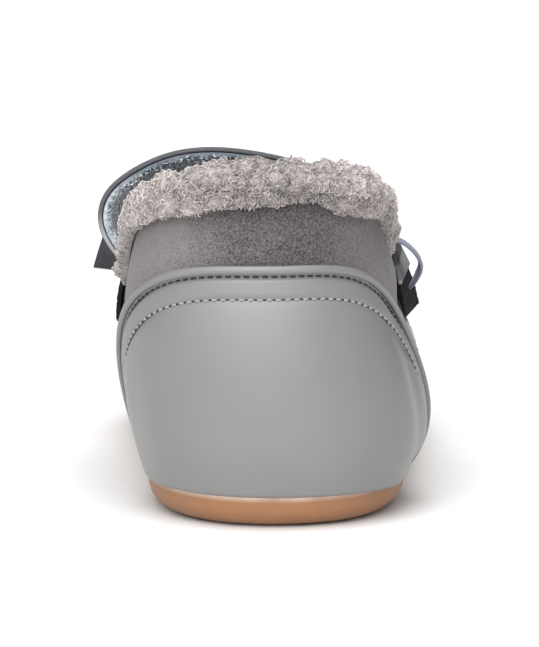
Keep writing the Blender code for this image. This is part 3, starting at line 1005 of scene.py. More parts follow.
@dataclass(frozen=True)
class Pile:
    """Curly pile: small coils of fibre, each an arc that rises out of a matted bed and sinks back into it."""

    spacing: float
    coil: float  # mean radius of an arc
    fibre: float  # radius of the lock of fibres
    arc: tuple[float, float] = (230.0, 400.0)  # degrees
    pitch: float = 0.7  # how far a coil moves aside in one turn
    tilt: float = 0.45
    spread: tuple[float, float] = (0.65, 1.35)  # of the radius, from coil to coil
    girth: tuple[float, float] = (0.7, 1.25)  # of the fibre, from coil to coil
    taper: float = 0.25  # how much tighter a coil ends than it starts
    tints: float = 0.24  # spread of the tone
    rings: int = 8
    seed: int = 1

    def grow(self, backing: Array, directions: Array, shade: Array) -> Surface:
        """Coils on a backing, each standing across it at a random turn.

        A point of a coil is its middle, plus the radius times the cosine of the angle aside and times the
        sine upwards, plus the pitch times the turns gone along the axis.

        Args:
            backing: grid of points, rows along it.
            directions: unit vectors in which the pile stands there.
            shade: painted light and shade over the coils there, lighter or darker.

        Returns:
            Closed three-sided coils, with marks tip, painted shade low on each coil and painted light at its
            top, and tone_and_painted_light.
        """
        rng = np.random.default_rng(self.seed)
        lengths = [float(arc_length(backing, axis).take(-1, axis=axis).mean()) for axis in (0, 1)]
        counts = [max(1, round(length / self.spacing)) for length in lengths]
        place = np.stack(np.meshgrid(*[np.arange(n) for n in counts], indexing="ij"), -1).reshape(-1, 2)
        at = (place + rng.uniform(0, 1, place.shape)) / counts
        count = len(at)
        root = sample(backing, at[:, 0], at[:, 1])
        up = unit(sample(directions, at[:, 0], at[:, 1]) + rng.normal(0, self.tilt, (count, 3)))
        side = unit(np.cross(up, rng.normal(0, 1, (count, 3))))
        axis = np.cross(up, side)
        sweep = np.radians(rng.uniform(*self.arc, count))[:, None]
        x = np.linspace(-0.5, 0.5, self.rings)
        angle = math.pi / 2 + sweep * x
        coil = self.coil * rng.uniform(*self.spread, count)[:, None] * (1 - self.taper * (x + 0.5))
        path = root[:, None] + side[:, None] * (coil * np.cos(angle))[..., None]
        path = path + up[:, None] * (coil * np.sin(angle))[..., None]
        path = path + axis[:, None] * (self.pitch * sweep * x / (2 * math.pi))[..., None]
        thick = self.fibre * rng.uniform(*self.girth, count)[:, None] * (1.05 - 2.6 * x**2)
        guide = np.broadcast_to(axis[:, None], path.shape)
        surface = tubes(rings_along(path, guide, thick, thick, 3))
        shape = (count, self.rings, 3)
        # Painted shade and light: each coil is painted darker where it sinks into the bed and lighter at its
        # top.
        surface.marks["tip"] = np.broadcast_to((0.45 + 0.4 * np.sin(angle))[..., None], shape).ravel()
        tone_and_painted_light = rng.normal(0, self.tints, count) + sample(shade[..., None], at[:, 0], at[:, 1])[:, 0]
        surface.marks["tone_and_painted_light"] = np.broadcast_to(tone_and_painted_light[:, None, None], shape).ravel()
        return surface


def pile_bed(points: Array, directions: Array, depth: Array, seed: int) -> tuple[Array, Array]:
    """Matted bed under a pile: a grid raised along its directions, in puffs with creases between, and woolly.

    Args:
        points: grid of the backing.
        directions: unit vectors in which the pile stands.
        depth: mean height of the bed at each point.
        seed: picks the lumps.

    Returns:
        The raised points, and how far each lies up the pile, from 0 to 1, which the fleece uses as painted
        shade in the creases and painted light on the puffs.
    """
    over = points + directions * depth[..., None]
    puffs = sum(weight * np.abs(noise(over, cell, seed + i)) ** 0.6 for i, (cell, weight) in enumerate(PUFFS))
    wool = noise(over, WOOL, seed + len(PUFFS))
    height = depth * (0.55 + 0.62 * puffs + 0.09 * wool)
    return points + directions * height[..., None], 0.1 + 0.5 * puffs + 0.22 * wool


class Outsole:
    """Moulded sole: a rounded side with a low rim, and a wavy tread underneath."""

    rows_round = 320
    side_steps = 26
    across_steps = 52
    wave_pitch = 6.4
    wave_swing = 1.6
    wave_length = 15.0
    groove_depth = 0.7
    tread_margin = 4.0
    highlight_from = 5.3  # height at which the painted highlight along the rim starts
    highlight_run = 0.9
    lift_from = 3.0  # height from which the side is stretched up to a higher rim

    # Where the rim is higher, beside the heel: t, spread along t, and rise.
    lifts = {"outer": (5.4, 1.3, 1.3), "inner": (10.6, 1.3, 0.8)}

    def build(self, bench: Bench) -> None:
        """Side, underside and seat as one welded body."""
        t = LAST.round_rows(self.rows_round)
        u = np.linspace(0, len(SOLE_ROWS) - 1, self.side_steps)
        columns = [column(SOLE_ROWS, SOLE_COLUMNS, name) for name in SOLE_COLUMNS]
        offset, height = (spline(values, u, closed=False) for values in columns)
        rise = sum(lift * bell(t, middle, spread) for middle, spread, lift in self.lifts.values())
        stretched = np.maximum(height, 0) + rise[:, None] * smooth_step(height / self.lift_from - 1)
        side = LAST.outline(*np.meshgrid(t, offset, indexing="ij"), stretched)
        ring = np.concatenate([side, side[:1]])
        under = across(side[:, 0], self.across_steps)
        under[..., 2] += self.tread(under)
        seat = across(side[:, -1], self.across_steps)[:, ::-1]
        parts = [open_sheet(grid) for grid in (ring, under, seat)]
        sole = joined(parts)
        # Painted highlight: the top of the rim is painted pale, where light would catch its round.
        rim = np.zeros(len(sole.points))
        pale = smooth_step((height - self.highlight_from) / self.highlight_run)
        rim[: len(parts[0].points)] = np.tile(pale, len(ring))
        sole.marks["rim"] = rim
        bench.add("gum_outsole", sole, GUM, Slot.RUBBER, ["outsole"], weld=True)

    def tread(self, grid: Array) -> Array:
        """Depth of the tread: wavy grooves across the sole, none near its edge."""
        x, y = grid[..., 0], grid[..., 1]
        phase = (y + self.wave_swing * np.sin(2 * math.pi * x / self.wave_length)) / self.wave_pitch
        groove = smooth_step((np.abs(phase % 1 - 0.5) - 0.3) / 0.1)
        inside = border_distance(grid, [Side.LOW, Side.HIGH])
        ends = np.minimum(y - y.min(), y.max() - y)
        return self.groove_depth * groove * smooth_step((np.minimum(inside, ends) - self.tread_margin) / 2.0)


class Footbed:
    """Fleece-covered insole inside the wall of the upper."""

    inset = 2.6
    thickness = 2.4
    bed = 0.5
    edge_radius = 1.5
    rows_round = 256
    across_steps = 56

    def build(self, bench: Bench) -> None:
        """Base with a matted, lumpy top."""
        outline = LAST.outline(LAST.round_rows(self.rows_round), -self.inset, LAST.seat + GAP)
        low = across(outline, self.across_steps)
        up = np.broadcast_to(UP, low.shape)
        top = low + up * (self.thickness - self.bed)
        edge = round_over(border_distance(top, [Side.LOW, Side.HIGH]), self.edge_radius)
        raised, tip = pile_bed(top, up, self.bed * edge, 41)
        body = closed_sheet(raised, low)
        plain = np.zeros_like(tip)
        body.mark("tip", tip, plain)
        body.mark("tone_and_painted_light", plain, plain)
        bench.add("footbed", body, LINING_FLEECE, Slot.FOOTBED, ["insole"], weld=True)


class Upper:
    """Wall of the shoe: suede outside and short fleece inside."""

    wall = 2.0
    suede = 1.0
    rows_round = 272
    rib_steps = 44
    inner_painted_sheen = 0.6  # how much lighter the suede is painted on the inner side of the heel, a painted sheen
    outer_painted_sheen = 0.4

    # Soft swells and dents of the quarters: t, s, turn from upright in degrees, length, width and depth.
    creases = {
        "outer_swell": (5.4, 0.79, 0.0, 8.0, 14.0, -2.9),
        "outer_quarter": (6.6, 0.80, 62.0, 9.0, 2.4, 0.35),
        "outer_waist": (4.9, 0.55, 20.0, 9.0, 2.2, 0.4),
        "inner_quarter": (9.5, 0.84, -60.0, 8.0, 2.2, 0.3),
        "inner_waist": (11.2, 0.55, -18.0, 9.0, 2.2, 0.4),
    }

    def build(self, bench: Bench) -> None:
        """Two closed walls, back to back."""
        s = np.linspace(0, 1, self.rib_steps)
        t, s = np.meshgrid(LAST.round_rows(self.rows_round), s, indexing="ij")
        relief = LAST.troughs(LAST.skin(t, s, 0), self.creases)
        back = LAST.skin(t, s, -self.suede)
        shell = closed_sheet(LAST.skin(t, s, relief), back, ring=True)
        # Painted sheen: the suede is painted lighter on both sides of the heel, where its nap would catch
        # light at a grazing angle.
        painted_sheen = self.inner_painted_sheen * smooth_step((t - HEEL_ROW - 0.2) / 1.4)
        painted_sheen += self.outer_painted_sheen * smooth_step((HEEL_ROW - t - 0.5) / 1.2)
        shell.mark("painted_sheen", painted_sheen, painted_sheen)
        bench.add("upper_suede", shell, TAUPE_SUEDE, Slot.SUEDE, ["upper"])
        depth = np.full(t.shape, self.wall - self.suede)
        raised, tip = pile_bed(back, -LAST.directions(t, s)[0], depth, 61)
        lining = closed_sheet(back, raised, ring=True)
        plain = np.zeros_like(tip)
        lining.mark("tip", plain, tip)
        lining.mark("tone_and_painted_light", plain, plain)
        bench.add("upper_lining", lining, LINING_FLEECE, Slot.FLEECE)


class HeelCounter:
    """Padded leather round the heel, with an arched edge that is folded over and two rows of stitches."""

    back_height = 51.0
    reach = 2.6
    roundness = 3.5
    base = OVERLAY_GAP
    band = 1.5  # offset of the plain band along the edge
    fold_width = 1.7
    fold_rise = 0.66  # half height of the folded edge
    fold_shift = 0.1  # of its middle, towards the edge and off the band
    fold_seat = (0.5, 0.6)  # depth and run of the step under it
    first_row = 2.0  # from the edge to the first row of stitches
    second_row = 6.5
    first_furrow = (0.62, 0.5)  # depth and width
    second_furrow = (0.3, 0.6)
    dark_row = StitchRow(length=1.45, thread=0.5, lift=0.05)
    pale_row = StitchRow(length=1.0, thread=0.5, lift=0.16, hole=0.75)
    pillow = 1.0  # how far the padding swells past the second row
    pillow_run = 5.0
    seat_share = 0.25  # of the offset that is left at the seat
    seat_run = 1.5
    columns = 320
    steps = 100
    crowding = 1.35  # how much closer the steps lie at the arched edge

    # Soft hollows and swells of the padding: t, s, turn in degrees, length, width and depth.
    creases = {
        "outer_hollow": (6.1, 0.36, 4.0, 17.0, 4.6, 1.1),
        "outer_tuck": (5.8, 0.08, 90.0, 14.0, 3.0, 0.9),
        "inner_hollow": (9.75, 0.34, -6.0, 15.0, 5.0, 0.5),
        "seat_swell": (8.0, 0.16, 90.0, 16.0, 5.0, -0.35),
        "outer_pucker": (6.9, 0.10, 28.0, 4.5, 1.3, 0.16),
        "inner_pucker": (9.2, 0.10, -24.0, 4.5, 1.3, 0.16),
    }

    def edge(self, turn: Array) -> tuple[Array, Array]:
        """Arched edge: a squared ellipse from the seat on the outer side, over the back, to the inner side.

        Args:
            turn: angle round the arch, from 0 to pi.

        Returns:
            Positions t and s on the last.
        """
        t = HEEL_ROW - self.reach * np.cos(turn)
        rise = np.sqrt(1 - np.abs(np.cos(turn)) ** self.roundness)
        return t, LAST.s_at_height(t, LAST.seat + GAP + (self.back_height - LAST.seat) * rise)

    def line(self, turn: Array, distance: float) -> tuple[Array, Array]:
        """Points on the last at a distance inside the edge, and their directions off the face."""
        t, s = self.edge(turn)
        points = LAST.skin(t, s, self.band)
        normal = LAST.directions(t, s)[0]
        inwards = unit(np.cross(normal, np.gradient(points, axis=0)))
        t, s = LAST.nearest(points + inwards * distance, t, s, self.band)
        return LAST.seam(t, s, float(self.profile(np.array(distance))))

    def profile(self, distance: Array) -> Array:
        """Offset of the face: a band with a furrow under each row of stitches, then padding that swells."""
        padding = self.pillow * (1 - np.exp(-np.maximum(distance - self.second_row, 0) / self.pillow_run))
        first = self.first_furrow[0] * bell(distance, self.first_row, self.first_furrow[1])
        second = self.second_furrow[0] * bell(distance, self.second_row, self.second_furrow[1])
        under_fold = self.fold_seat[0] * smooth_step((self.fold_width - distance) / self.fold_seat[1])
        return self.band + padding - np.maximum(first, under_fold) - second

    def build(self, bench: Bench) -> None:
        """Padded panel, folded edge, and both rows of stitches."""
        bench.add("heel_counter_leather", self.padded_panel(), GREY_LEATHER, Slot.LEATHER, ["heel_counter"])
        bench.add("counter_fold", self.fold(), GREY_LEATHER, Slot.LEATHER, ["counter_binding"])
        turn = np.linspace(0.06, math.pi - 0.06, 500)
        # The first row is painted dark as thread in the shade of its furrow, and the needle holes as the
        # shade inside them.
        first = self.dark_row.threads(*self.line(turn, self.first_row))
        bench.add("counter_first_stitches", first, SHADOW_THREAD, Slot.LEATHER)
        second = self.line(turn, self.second_row)
        bench.add("counter_second_stitches", self.pale_row.threads(*second), GREY_THREAD, Slot.LEATHER)
        bench.add("counter_needle_hole_shadows", self.pale_row.holes(*second), SHADOW_THREAD, Slot.LEATHER)

    def padded_panel(self) -> Surface:
        """Ribs from the seat to the arched edge, raised by the profile of their distance from the edge."""
        turn = np.linspace(0.03, math.pi - 0.03, self.columns)
        t, top = self.edge(turn)
        share = 1 - (1 - np.linspace(0, 1, self.steps)) ** self.crowding
        s = top[:, None] * share
        grid_t = np.repeat(t[:, None], self.steps, axis=1)
        face = LAST.skin(grid_t, s, self.band)
        rim = LAST.skin(*self.edge(np.linspace(0, math.pi, 900)), self.band)
        distance = np.stack([np.linalg.norm(row[:, None] - rim, axis=-1).min(1) for row in face])
        from_seat = smooth_step(border_distance(face, [Side.LOW]) / self.seat_run)
        tuck = self.seat_share + (1 - self.seat_share) * from_seat
        offset = self.profile(distance) + LAST.troughs(face, self.creases)
        offset = self.base + (offset - self.base) * tuck
        return closed_sheet(LAST.skin(grid_t, s, offset), LAST.skin(grid_t, s, self.base))

    def fold(self) -> Surface:
        """Folded edge: an ellipse carried along the arch, a little inside it."""
        turn = np.linspace(0.012, math.pi - 0.012, 420)
        inside = self.fold_width / 2 - self.fold_shift
        path, normals = self.line(turn, inside)
        middle = path + normals * (self.band + self.fold_shift - float(self.profile(np.array(inside))))
        wide = np.full((1, len(turn)), self.fold_width / 2)
        high = np.full((1, len(turn)), self.fold_rise)
        return tubes(rings_along(middle[None], normals[None], wide, high, 20))


class Vamp:
    """Cream toe panel, with stitches along its border and the flex lines of a soft leather."""

    half_span = 4.5
    seam = 0.008
    thickness = 1.1
    rows = 230
    steps = 42
    border = 0.075  # of the stitches from its back borders, along t
    stitches = StitchRow(pitch=2.0)

    # Flex lines over the toes: t, s, turn in degrees, length, width and depth.
    creases = {
        "outer_flex": (2.35, 0.62, 50.0, 12.0, 2.2, 0.45),
        "inner_flex": (13.7, 0.62, -50.0, 12.0, 2.2, 0.4),
        "middle_flex": (0.1, 0.78, 90.0, 14.0, 2.4, 0.35),
        "outer_ball": (3.6, 0.42, 18.0, 10.0, 3.0, 0.4),
        "inner_ball": (12.4, 0.42, -18.0, 10.0, 3.0, 0.4),
    }

    def build(self, bench: Bench, facing: "ThroatFacing") -> None:
        """Panel up to the facing, and a row of stitches inside its back borders."""
        t = np.linspace(-self.half_span, self.half_span, self.rows)
        low, high = OVERLAY_GAP, OVERLAY_GAP + self.thickness
        top = facing.lower_edge(t) - self.seam
        toe = panel(
            t, np.zeros_like(t), top, self.steps, low, high, [Side.HIGH, Side.START, Side.END], self.relief
        )
        bench.add("vamp_leather", toe, CREAM_LEATHER, Slot.CREAM, ["vamp"])
        rows = []
        for end, upper_end in ((-1, top[0]), (1, top[-1])):
            s = np.linspace(0.06, float(upper_end) - 0.05, 120)
            spot = np.full_like(s, end * (self.half_span - self.border))
            rows.append(self.stitches.threads(*LAST.seam(spot, s, high)))
        bench.add("vamp_stitches", joined(rows), CREAM_THREAD, Slot.CREAM)

    def relief(self, face: Array) -> Array:
        """Flex lines, and faint waves of the leather between them."""
        return LAST.troughs(face, self.creases) + 0.12 * noise(face, 11.0, 7)


class ThroatFacing:
    """Charcoal suede band round the throat, down both sides under the strap."""

    half_span = 4.25
    throat_depth = 8.0
    side_depth = 18.0
    full_row = 3.4
    thickness = 0.8
    radius = 0.5  # of its rounded edges
    rows = 240
    steps = 20
    inset = 1.8  # of the stitches from its edges
    bare_rows = 8  # at both ends, without stitches
    stitches = StitchRow(pitch=2.0)

    def depth(self, t: Array) -> Array:
        """Depth below the topline, which grows from the throat to the sides."""
        share = smooth_step(np.abs(t) / self.full_row)
        return self.throat_depth + (self.side_depth - self.throat_depth) * share

    def lower_edge(self, t: Array) -> Array:
        """Where its lower edge crosses the ribs."""
        return LAST.s_below_top(t, self.depth(t))

    def build(self, bench: Bench) -> None:
        """Band, and stitches along both of its long edges."""
        t = np.linspace(-self.half_span, self.half_span, self.rows)
        low, high = OVERLAY_GAP, OVERLAY_GAP + self.thickness
        top = np.ones_like(t)
        band = panel(t, self.lower_edge(t), top, self.steps, low, high, list(Side), radius=self.radius)
        bench.add("throat_facing_suede", band, CHARCOAL_SUEDE, Slot.CHARCOAL, ["throat_facing"])
        t = t[self.bare_rows : -self.bare_rows]
        rows = []
        for below in (np.full_like(t, self.inset), self.depth(t) - self.inset):
            rows.append(self.stitches.threads(*LAST.seam(t, LAST.s_below_top(t, below), high)))
        bench.add("throat_facing_stitches", joined(rows), CHARCOAL_THREAD, Slot.CHARCOAL)


class InnerPad:
    """Black loop tape on the inner side of the facing, where the strap's inner end is pressed on."""

    rows = (-4.25, -3.5)
    top = 0.8
    depth = 16.5
    thickness = 0.9
    base = OVERLAY_GAP + ThroatFacing.thickness + GAP
    columns = 56
    steps = 64

    def build(self, bench: Bench) -> None:
        """A panel with a lumpy face."""
        t = np.linspace(*self.rows, self.columns)
        top = LAST.s_below_top(t, np.full_like(t, self.top))
        low = LAST.s_below_top(t, np.full_like(t, self.depth))
        high = self.base + self.thickness
        pad = panel(t, low, top, self.steps, self.base, high, list(Side), loop_pile, 0.4)
        bench.add("inner_pad_tape", pad, LOOP_TAPE, Slot.LOOP_TAPE, ["inner_side_pad"])


def loop_pile(face: Array) -> Array:
    """Tangled loops of a tape: fine lumps of two sizes."""
    return 0.1 * noise(face, 0.55, 3) + 0.08 * noise(face, 0.9, 4)


class FleeceCollar:
    """Curly fleece folded over the topline, from one side of the strap round the heel to the other."""

    half_span = 3.625
    outer_fall = 2.4
    end_fall = 8.0  # at the end on the inner side of the foot
    outer_end_fall = 3.0
    inner_fall = 4.4  # beside the back of the heel on the inner side
    end_start = 1.5
    notch = (-0.6, 0.28, -1.5)  # fold of the lower edge on the outer side: place, width and drop
    flap = (-1.35, 0.45, 0.9)  # the lower edge past that fold: the same
    lining_fall = 9.0
    hang = 0.55  # how far the pile leans down at the lower edge, from the same share of the fall on
    end_lean = 0.9  # how far it leans out at the ends
    end_run = 3.0
    bed = 3.2
    edge_radius = 1.6
    edge_share = 0.45  # of the bed that is left at the borders
    crown_swell = 1.5
    side_thinning = 1.2
    ragged = 0.8  # how far the lower edge wanders
    rows = 380
    outside_steps = 20
    over_steps = 12
    inside_steps = 24
    pile = Pile(spacing=0.72, coil=0.55, fibre=0.15, rings=6, seed=11)
    spacings = {"outside": 0.72, "crown": 0.72, "inside": 0.95}

    def fall(self, t: Array) -> Array:
        """How far the fleece hangs down outside: most at the inner end, notched on the outer side, ragged."""
        away = t - HEEL_ROW
        run = self.half_span - self.end_start
        inner_end = smooth_step((away - self.end_start) / run)
        fall = self.inner_fall + (self.end_fall - self.inner_fall) * inner_end
        fall += (self.outer_fall - self.inner_fall) * smooth_step((1.2 - away) / 1.4)
        fall += (self.outer_end_fall - self.outer_fall) * smooth_step((-away - self.end_start) / run)
        for place, width, drop in (self.notch, self.flap):
            fall += drop * bell(away, place, width)
        topline = LAST.rib(t, np.ones_like(t))
        return fall + self.ragged * (noise(topline, 8.0, 5) + 0.5 * noise(topline, 2.6, 6))

    def fold(self, t: Array) -> tuple[Array, Array]:
        """Backing over the topline: down the outside, over the wall in a half circle, and down the inside.

        Args:
            t: positions round the last.

        Returns:
            Grid of points, and the directions in which the pile stands there.
        """
        fall, top = self.fall(t), np.ones_like(t)
        points, directions = [], []
        for share in np.linspace(1, 0, self.outside_steps, endpoint=False):
            s = LAST.s_below_top(t, fall * share)
            normal, up = LAST.directions(t, s)
            lean = self.hang * float(smooth_step((share - self.hang) / (1 - self.hang)))
            points.append(LAST.rib(t, s))
            directions.append(normal - up * lean)
        aside, up = LAST.directions(t, top)
        for turn in np.linspace(0, math.pi, self.over_steps, endpoint=False):
            points.append(LAST.rib(t, top) - aside * Upper.wall / 2 * (1 - math.cos(turn)))
            directions.append(aside * math.cos(turn) + up * math.sin(turn))
        for share in np.linspace(0, 1, self.inside_steps):
            s = LAST.s_below_top(t, np.full_like(t, self.lining_fall * share))
            normal = LAST.directions(t, s)[0]
            points.append(LAST.rib(t, s) - normal * Upper.wall)
            directions.append(-normal)
        points, directions = np.stack(points, 1), np.stack(directions, 1)
        along = unit(np.gradient(points, axis=0))
        distances = (border_distance(points, [side]) for side in (Side.START, Side.END))
        start, end = (smooth_step(1 - distance / self.end_run) for distance in distances)
        return points, unit(directions + along * (self.end_lean * (end - start))[..., None])

    def even_rows(self) -> Array:
        """Row positions that lie evenly along the topline."""
        t = np.linspace(HEEL_ROW - self.half_span, HEEL_ROW + self.half_span, 400)
        run = arc_length(LAST.rib(t, np.ones_like(t)))
        return np.interp(np.linspace(0, run[-1], self.rows), run, t)

    def swell(self, t: Array, steps: int) -> Array:
        """More pile on the crown over the heel, and less down the outside at the sides."""
        away = (t - HEEL_ROW)[:, None]
        over = np.linspace(0, 1, steps)
        crown = bell(over, 0.47, 0.16) * smooth_step((2.2 - np.abs(away + 0.3)) / 1.4)
        sides = 0.5 * smooth_step(away - 1.0) + smooth_step(-away - 1.8)
        return self.crown_swell * crown - self.side_thinning * sides * smooth_step((0.5 - over) / 0.3)

    def build(self, bench: Bench) -> None:
        """Matted bed, and curls in three sections across the fold."""
        t = self.even_rows()
        points, directions = self.fold(t)
        points = points + directions * GAP
        steps = points.shape[1]
        rim = round_over(border_distance(points, list(Side)), self.edge_radius)
        depth = self.bed * (self.edge_share + (1 - self.edge_share) * rim) + self.swell(t, steps)
        raised, tip = pile_bed(points, directions, depth, 21)
        # Painted light: the collar's fleece is painted lighter towards both sides and darker over the back of
        # the heel.
        shade = 0.4 * smooth_step((np.abs(t - HEEL_ROW) - 0.4) / 1.6) - 0.14
        shade = np.repeat(shade[:, None], steps, axis=1)
        body = closed_sheet(raised, points)
        body.mark("tip", tip, np.zeros_like(tip))
        body.mark("tone_and_painted_light", shade, shade)
        bench.add("fleece_collar_bed", body, COLLAR_FLEECE, Slot.FLEECE, ["fleece_collar"])
        cuts = np.linspace(0, steps - 1, len(self.spacings) + 1).round().astype(int)
        for number, (name, spacing) in enumerate(self.spacings.items()):
            part = slice(cuts[number], cuts[number + 1] + 1)
            pile = replace(self.pile, spacing=spacing, seed=self.pile.seed + number)
            curls = pile.grow(raised[:, part], directions[:, part], shade[:, part])
            bench.add(f"fleece_collar_{name}", curls, COLLAR_FLEECE, Slot.FLEECE)


class Band:
    """Strip along the middle line of a table, with its tilt, flare and width."""

    def __init__(self, table: dict[str, tuple[float, ...]]) -> None:
        """Keep the table, whose columns are those of the strap."""
        self.table = table

    def value(self, name: str, u: Array) -> Array:
        """A column of the table at row positions u."""
        return spline(column(self.table, STRAP_COLUMNS, name), u, closed=False)

    def middle(self, u: Array) -> Array:
        """Points of the middle line."""
        return np.stack([self.value(axis, u) for axis in "xyz"], -1)

    def rows(self, count: int, bare: float = 0.0) -> Array:
        """Evenly spaced row positions, less a bare stretch at both ends."""
        return np.linspace(bare, len(self.table) - 1 - bare, count)

    def grid(self, u: Array, steps: int, trim: float = 0.0) -> tuple[Array, Array]:
        """Points over the strip: the middle line plus shares of the width along its tilted cross direction.

        Args:
            u: row positions.
            steps: points across, closer together near the edges.
            trim: how much narrower the strip is than its table says.

        Returns:
            Grid of points, and directions off its face.
        """
        step = 1e-3
        along = unit(self.middle(u + step) - self.middle(u - step))
        lean, turn = np.radians(self.value("tilt", u)), np.radians(self.value("flare", u))
        across = np.stack([np.cos(lean) * np.sin(turn), np.cos(lean) * np.cos(turn), -np.sin(lean)], -1)
        face = unit(np.cross(along, across))
        across = unit(np.cross(face, along))
        width = self.value("width", u) - trim
        side = -0.5 * np.cos(np.linspace(0, math.pi, steps))
        grid = self.middle(u)[:, None] + across[:, None] * (width[:, None] * side)[..., None]
        return grid, np.broadcast_to(face[:, None], grid.shape)


class Strap:
    """Suede strap over the instep, pale at its cut edges, with a short fleece lining."""

    thickness = 1.3
    edge_share = 0.4  # of the thickness that is left at the edges
    edge_radius = 1.2
    wave = 0.14
    lining = 1.2
    lining_ends = 0.06
    lining_trim = 0.4
    pale_rows = 1.7  # rows from the inner end along which the cut edge is pale
    cut_width = 0.3
    end_patch = 0.5  # how much paler the outer end is
    rows = 220
    steps = 36
    line = Band(STRAP_ROWS)
    pile = Pile(spacing=1.0, coil=0.4, fibre=0.12, arc=(200.0, 330.0), rings=6, seed=71)

    def build(self, bench: Bench) -> None:
        """Leather with its cut edges, and the lining with its nap."""
        u = self.line.rows(self.rows)
        grid, face = self.line.grid(u, self.steps)
        distance = border_distance(grid, list(Side))
        full = self.edge_share + (1 - self.edge_share) * round_over(distance, self.edge_radius)
        wave = self.wave * noise(grid, 9.0, 17) * smooth_step(distance / 3.0)
        leather = strip_sheet(grid, face, self.thickness, full, wave)
        to_end = len(STRAP_ROWS) - 1 - u[:, None]
        pale = 0.2 + 0.8 * smooth_step((self.pale_rows - u) / 0.8)[:, None]
        cut = (1 - smooth_step(distance / self.cut_width)) * np.maximum(pale, to_end < 0.1)
        cut = np.maximum(cut, self.end_patch * smooth_step((0.5 - to_end) / 0.1))
        leather.mark("cut", cut, cut)
        bench.add("strap_suede", leather, STRAP_SUEDE, Slot.CHARCOAL, ["strap"])
        self.build_lining(bench)

    def build_lining(self, bench: Bench) -> None:
        """Matted bed under the strap, and short coils on it."""
        u = self.line.rows(self.rows, self.lining_ends)
        grid, face = self.line.grid(u, self.steps, self.lining_trim)
        back = grid - face * 0.05
        rim = round_over(border_distance(grid, list(Side)), 0.8)
        raised, tip = pile_bed(back, -face, self.lining * (0.35 + 0.55 * rim), 81)
        # Painted light: the lining is painted darker at its rear lip and lighter inside the arch, and lighter
        # still towards its inner end.
        tip = tip * 0.6 + 0.55 * smooth_step(border_distance(grid, [Side.LOW]) / 3.0) - 0.15
        shade = np.broadcast_to((0.55 - 0.7 * smooth_step((u - 1.4) / 1.6))[:, None], tip.shape)
        body = closed_sheet(back, raised)
        body.mark("tip", np.zeros_like(tip), tip)
        body.mark("tone_and_painted_light", shade, shade)
        bench.add("strap_lining_bed", body, STRAP_FLEECE, Slot.LINING, ["strap_lining"])
        bench.add("strap_lining_nap", self.pile.grow(raised, -face, shade), STRAP_FLEECE, Slot.LINING)


class StrapTab:
    """Stiff black tape that carries on from the strap's outer end, a little off the side of the shoe."""

    thickness = 1.3
    edge_share = 0.7
    edge_radius = 0.4
    rows = 50
    steps = 70
    line = Band(TAB_ROWS)

    def build(self, bench: Bench) -> None:
        """Closed strip with rounded edges and a lumpy outer face."""
        grid, face = self.line.grid(self.line.rows(self.rows), self.steps)
        round_edge = round_over(border_distance(grid, list(Side)), self.edge_radius)
        full = self.edge_share + (1 - self.edge_share) * round_edge
        tape = strip_sheet(grid, face, self.thickness, full, loop_pile(grid))
        bench.add("strap_tab_tape", tape, LOOP_TAPE, Slot.LOOP_TAPE, ["strap_tab"])


class PullLoop:
    """Ribbon that stands out as an open loop between the collar and the strap."""

    thickness = 0.8
    rows = 150
    steps = 19
    line = Band(RIBBON_ROWS)

    def build(self, bench: Bench) -> None:
        """Closed strip with thicker selvedges, marked in millimetres along and across for its weave."""
        u = self.line.rows(self.rows)
        grid, face = self.line.grid(u, self.steps)
        distance = border_distance(grid, [Side.LOW, Side.HIGH])
        selvedge = bell(distance, 0.35, 0.25)
        half = self.thickness / 2 * (0.35 + 0.45 * round_over(distance, 0.3) + 0.2 * selvedge)
        strip = closed_sheet(grid + face * half[..., None], grid - face * half[..., None])
        lay = [arc_length(grid, 0), arc_length(grid, 1), np.zeros(grid.shape[:2])]
        strip.marks["lay"] = np.tile(np.stack(lay, -1).reshape(-1, 3), (2, 1))
        bench.add("pull_loop_ribbon", strip, RIBBON, Slot.RIBBON, ["pull_loop"])


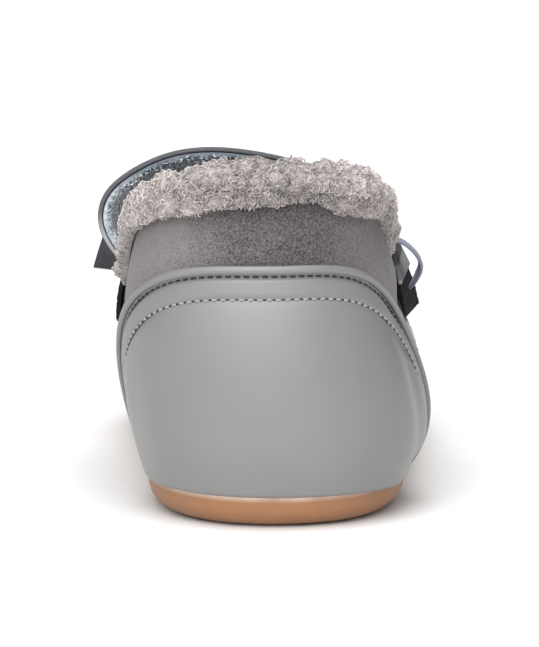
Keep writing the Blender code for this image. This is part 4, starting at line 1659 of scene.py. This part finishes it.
class Studio:
    """Plain pale floor, soft light and the camera behind the heel."""

    azimuth = -2.1  # degrees, below 0 on the inner side of the foot
    elevation = 8.5
    distance = 1.0  # metres
    aim = (-0.0005, -0.04, 0.0355)
    pixel = 0.2  # millimetres of the shoe to one pixel of the image
    floor_size = 60.0
    floor_colour = "#e2e2e2"
    far_painted_light = "#fdfdfd"
    painted_light_span = (0.3, 0.9)  # metres from the shoe between which the floor is painted paler, painted light that makes up for the softbox's light falling off
    room = 0.06  # strength of the light from all round
    lobe = 5.2  # strength of the soft light at its middle
    lobe_from = (-0.16, -0.78, 0.62)
    lobe_power = 5.0
    softbox_at = (0.0, -0.1, 1.1)
    softbox_side = 0.8  # metres
    softbox_power = 9.0  # watts

    def build(self) -> None:
        """Floor, light and camera."""
        self.floor()
        self.world()
        self.softbox()
        bpy.context.scene.view_settings.view_transform = "Standard"
        self.camera()

    def world(self) -> None:
        """Light by direction: that of the room, plus a wide lobe that falls off as a power of its cosine."""
        world = bpy.data.worlds.new("studio")
        world.use_nodes = True
        tree = world.node_tree
        towards = add_node(tree, "TexCoord").outputs["Generated"]
        middle = Vector(self.lobe_from).normalized()
        cosine = add_node(tree, "VectorMath", {0: towards, 1: middle}, operation="DOT_PRODUCT")
        front = add_node(tree, "Math", {0: cosine.outputs["Value"], 1: 0.0}, operation="MAXIMUM")
        fall = add_node(tree, "Math", {0: front.outputs[0], 1: self.lobe_power}, operation="POWER")
        strength = add_node(
            tree, "Math", {0: fall.outputs[0], 1: self.lobe, 2: self.room}, operation="MULTIPLY_ADD"
        )
        background = tree.nodes["Background"]
        background.inputs["Color"].default_value = (1.0, 1.0, 1.0, 1.0)
        tree.links.new(strength.outputs[0], background.inputs["Strength"])
        bpy.context.scene.world = world

    def floor(self) -> None:
        """A level sheet just under the sole, painted paler away from it, where less light falls."""
        side = np.linspace(-0.5, 0.5, 3) * self.floor_size
        x, y = np.meshgrid(side, side, indexing="ij")
        sheet = open_sheet(np.stack([x, y, np.full_like(x, -0.1 * MM)], -1))
        mesh = bpy.data.meshes.new("studio_floor")
        mesh.from_pydata(sheet.points.tolist(), [], sheet.faces[0].tolist())
        make = Shading("matt_studio_paper", 0.9)
        away = add_node(make.tree, "VectorMath", {0: make.place}, operation="LENGTH").outputs["Value"]
        share = make.spread(away, *self.painted_light_span)
        mesh.materials.append(make.done(make.mix(share, self.floor_colour, self.far_painted_light)))
        floor = bpy.data.objects.new("studio_floor", mesh)
        bpy.context.scene.collection.objects.link(floor)

    def stand(self, thing: bpy.types.Object, place: Vector, view: Vector) -> None:
        """Put a light or camera at a place in metres, turned to a view."""
        thing.location = place
        thing.rotation_mode = "QUATERNION"
        thing.rotation_quaternion = view.to_track_quat("-Z", "Y")
        bpy.context.scene.collection.objects.link(thing)

    def softbox(self) -> None:
        """A square soft light over the shoe."""
        lamp = bpy.data.lights.new("top", "AREA")
        lamp.shape = "SQUARE"
        lamp.size = self.softbox_side
        lamp.energy = self.softbox_power
        place = Vector(self.softbox_at)
        self.stand(bpy.data.objects.new("top", lamp), place, Vector(self.aim) - place)

    def camera(self) -> None:
        """Camera at the photograph's angle, with the lens that gives the wanted size of a pixel."""
        data = bpy.data.cameras.new("camera")
        turn, rise = math.radians(self.azimuth), math.radians(self.elevation)
        back = Vector((math.sin(turn) * math.cos(rise), -math.cos(turn) * math.cos(rise), math.sin(rise)))
        camera = bpy.data.objects.new("camera", data)
        self.stand(camera, Vector(self.aim) + back * self.distance, -back)
        data.lens = self.distance * data.sensor_width / (max(IMAGE_SIZE) * self.pixel * MM)
        bpy.context.scene.camera = camera


def main() -> None:
    """Build the sub-assemblies in order, then the studio."""
    logging.basicConfig(level=logging.INFO, format="%(message)s")
    bench = Bench()
    facing = ThroatFacing()
    for part in (Outsole(), Footbed(), Upper(), HeelCounter()):
        part.build(bench)
    Vamp().build(bench, facing)
    for part in (facing, InnerPad(), FleeceCollar(), Strap(), StrapTab(), PullLoop()):
        part.build(bench)
    Studio().build()


if __name__ == "__main__":
    main()
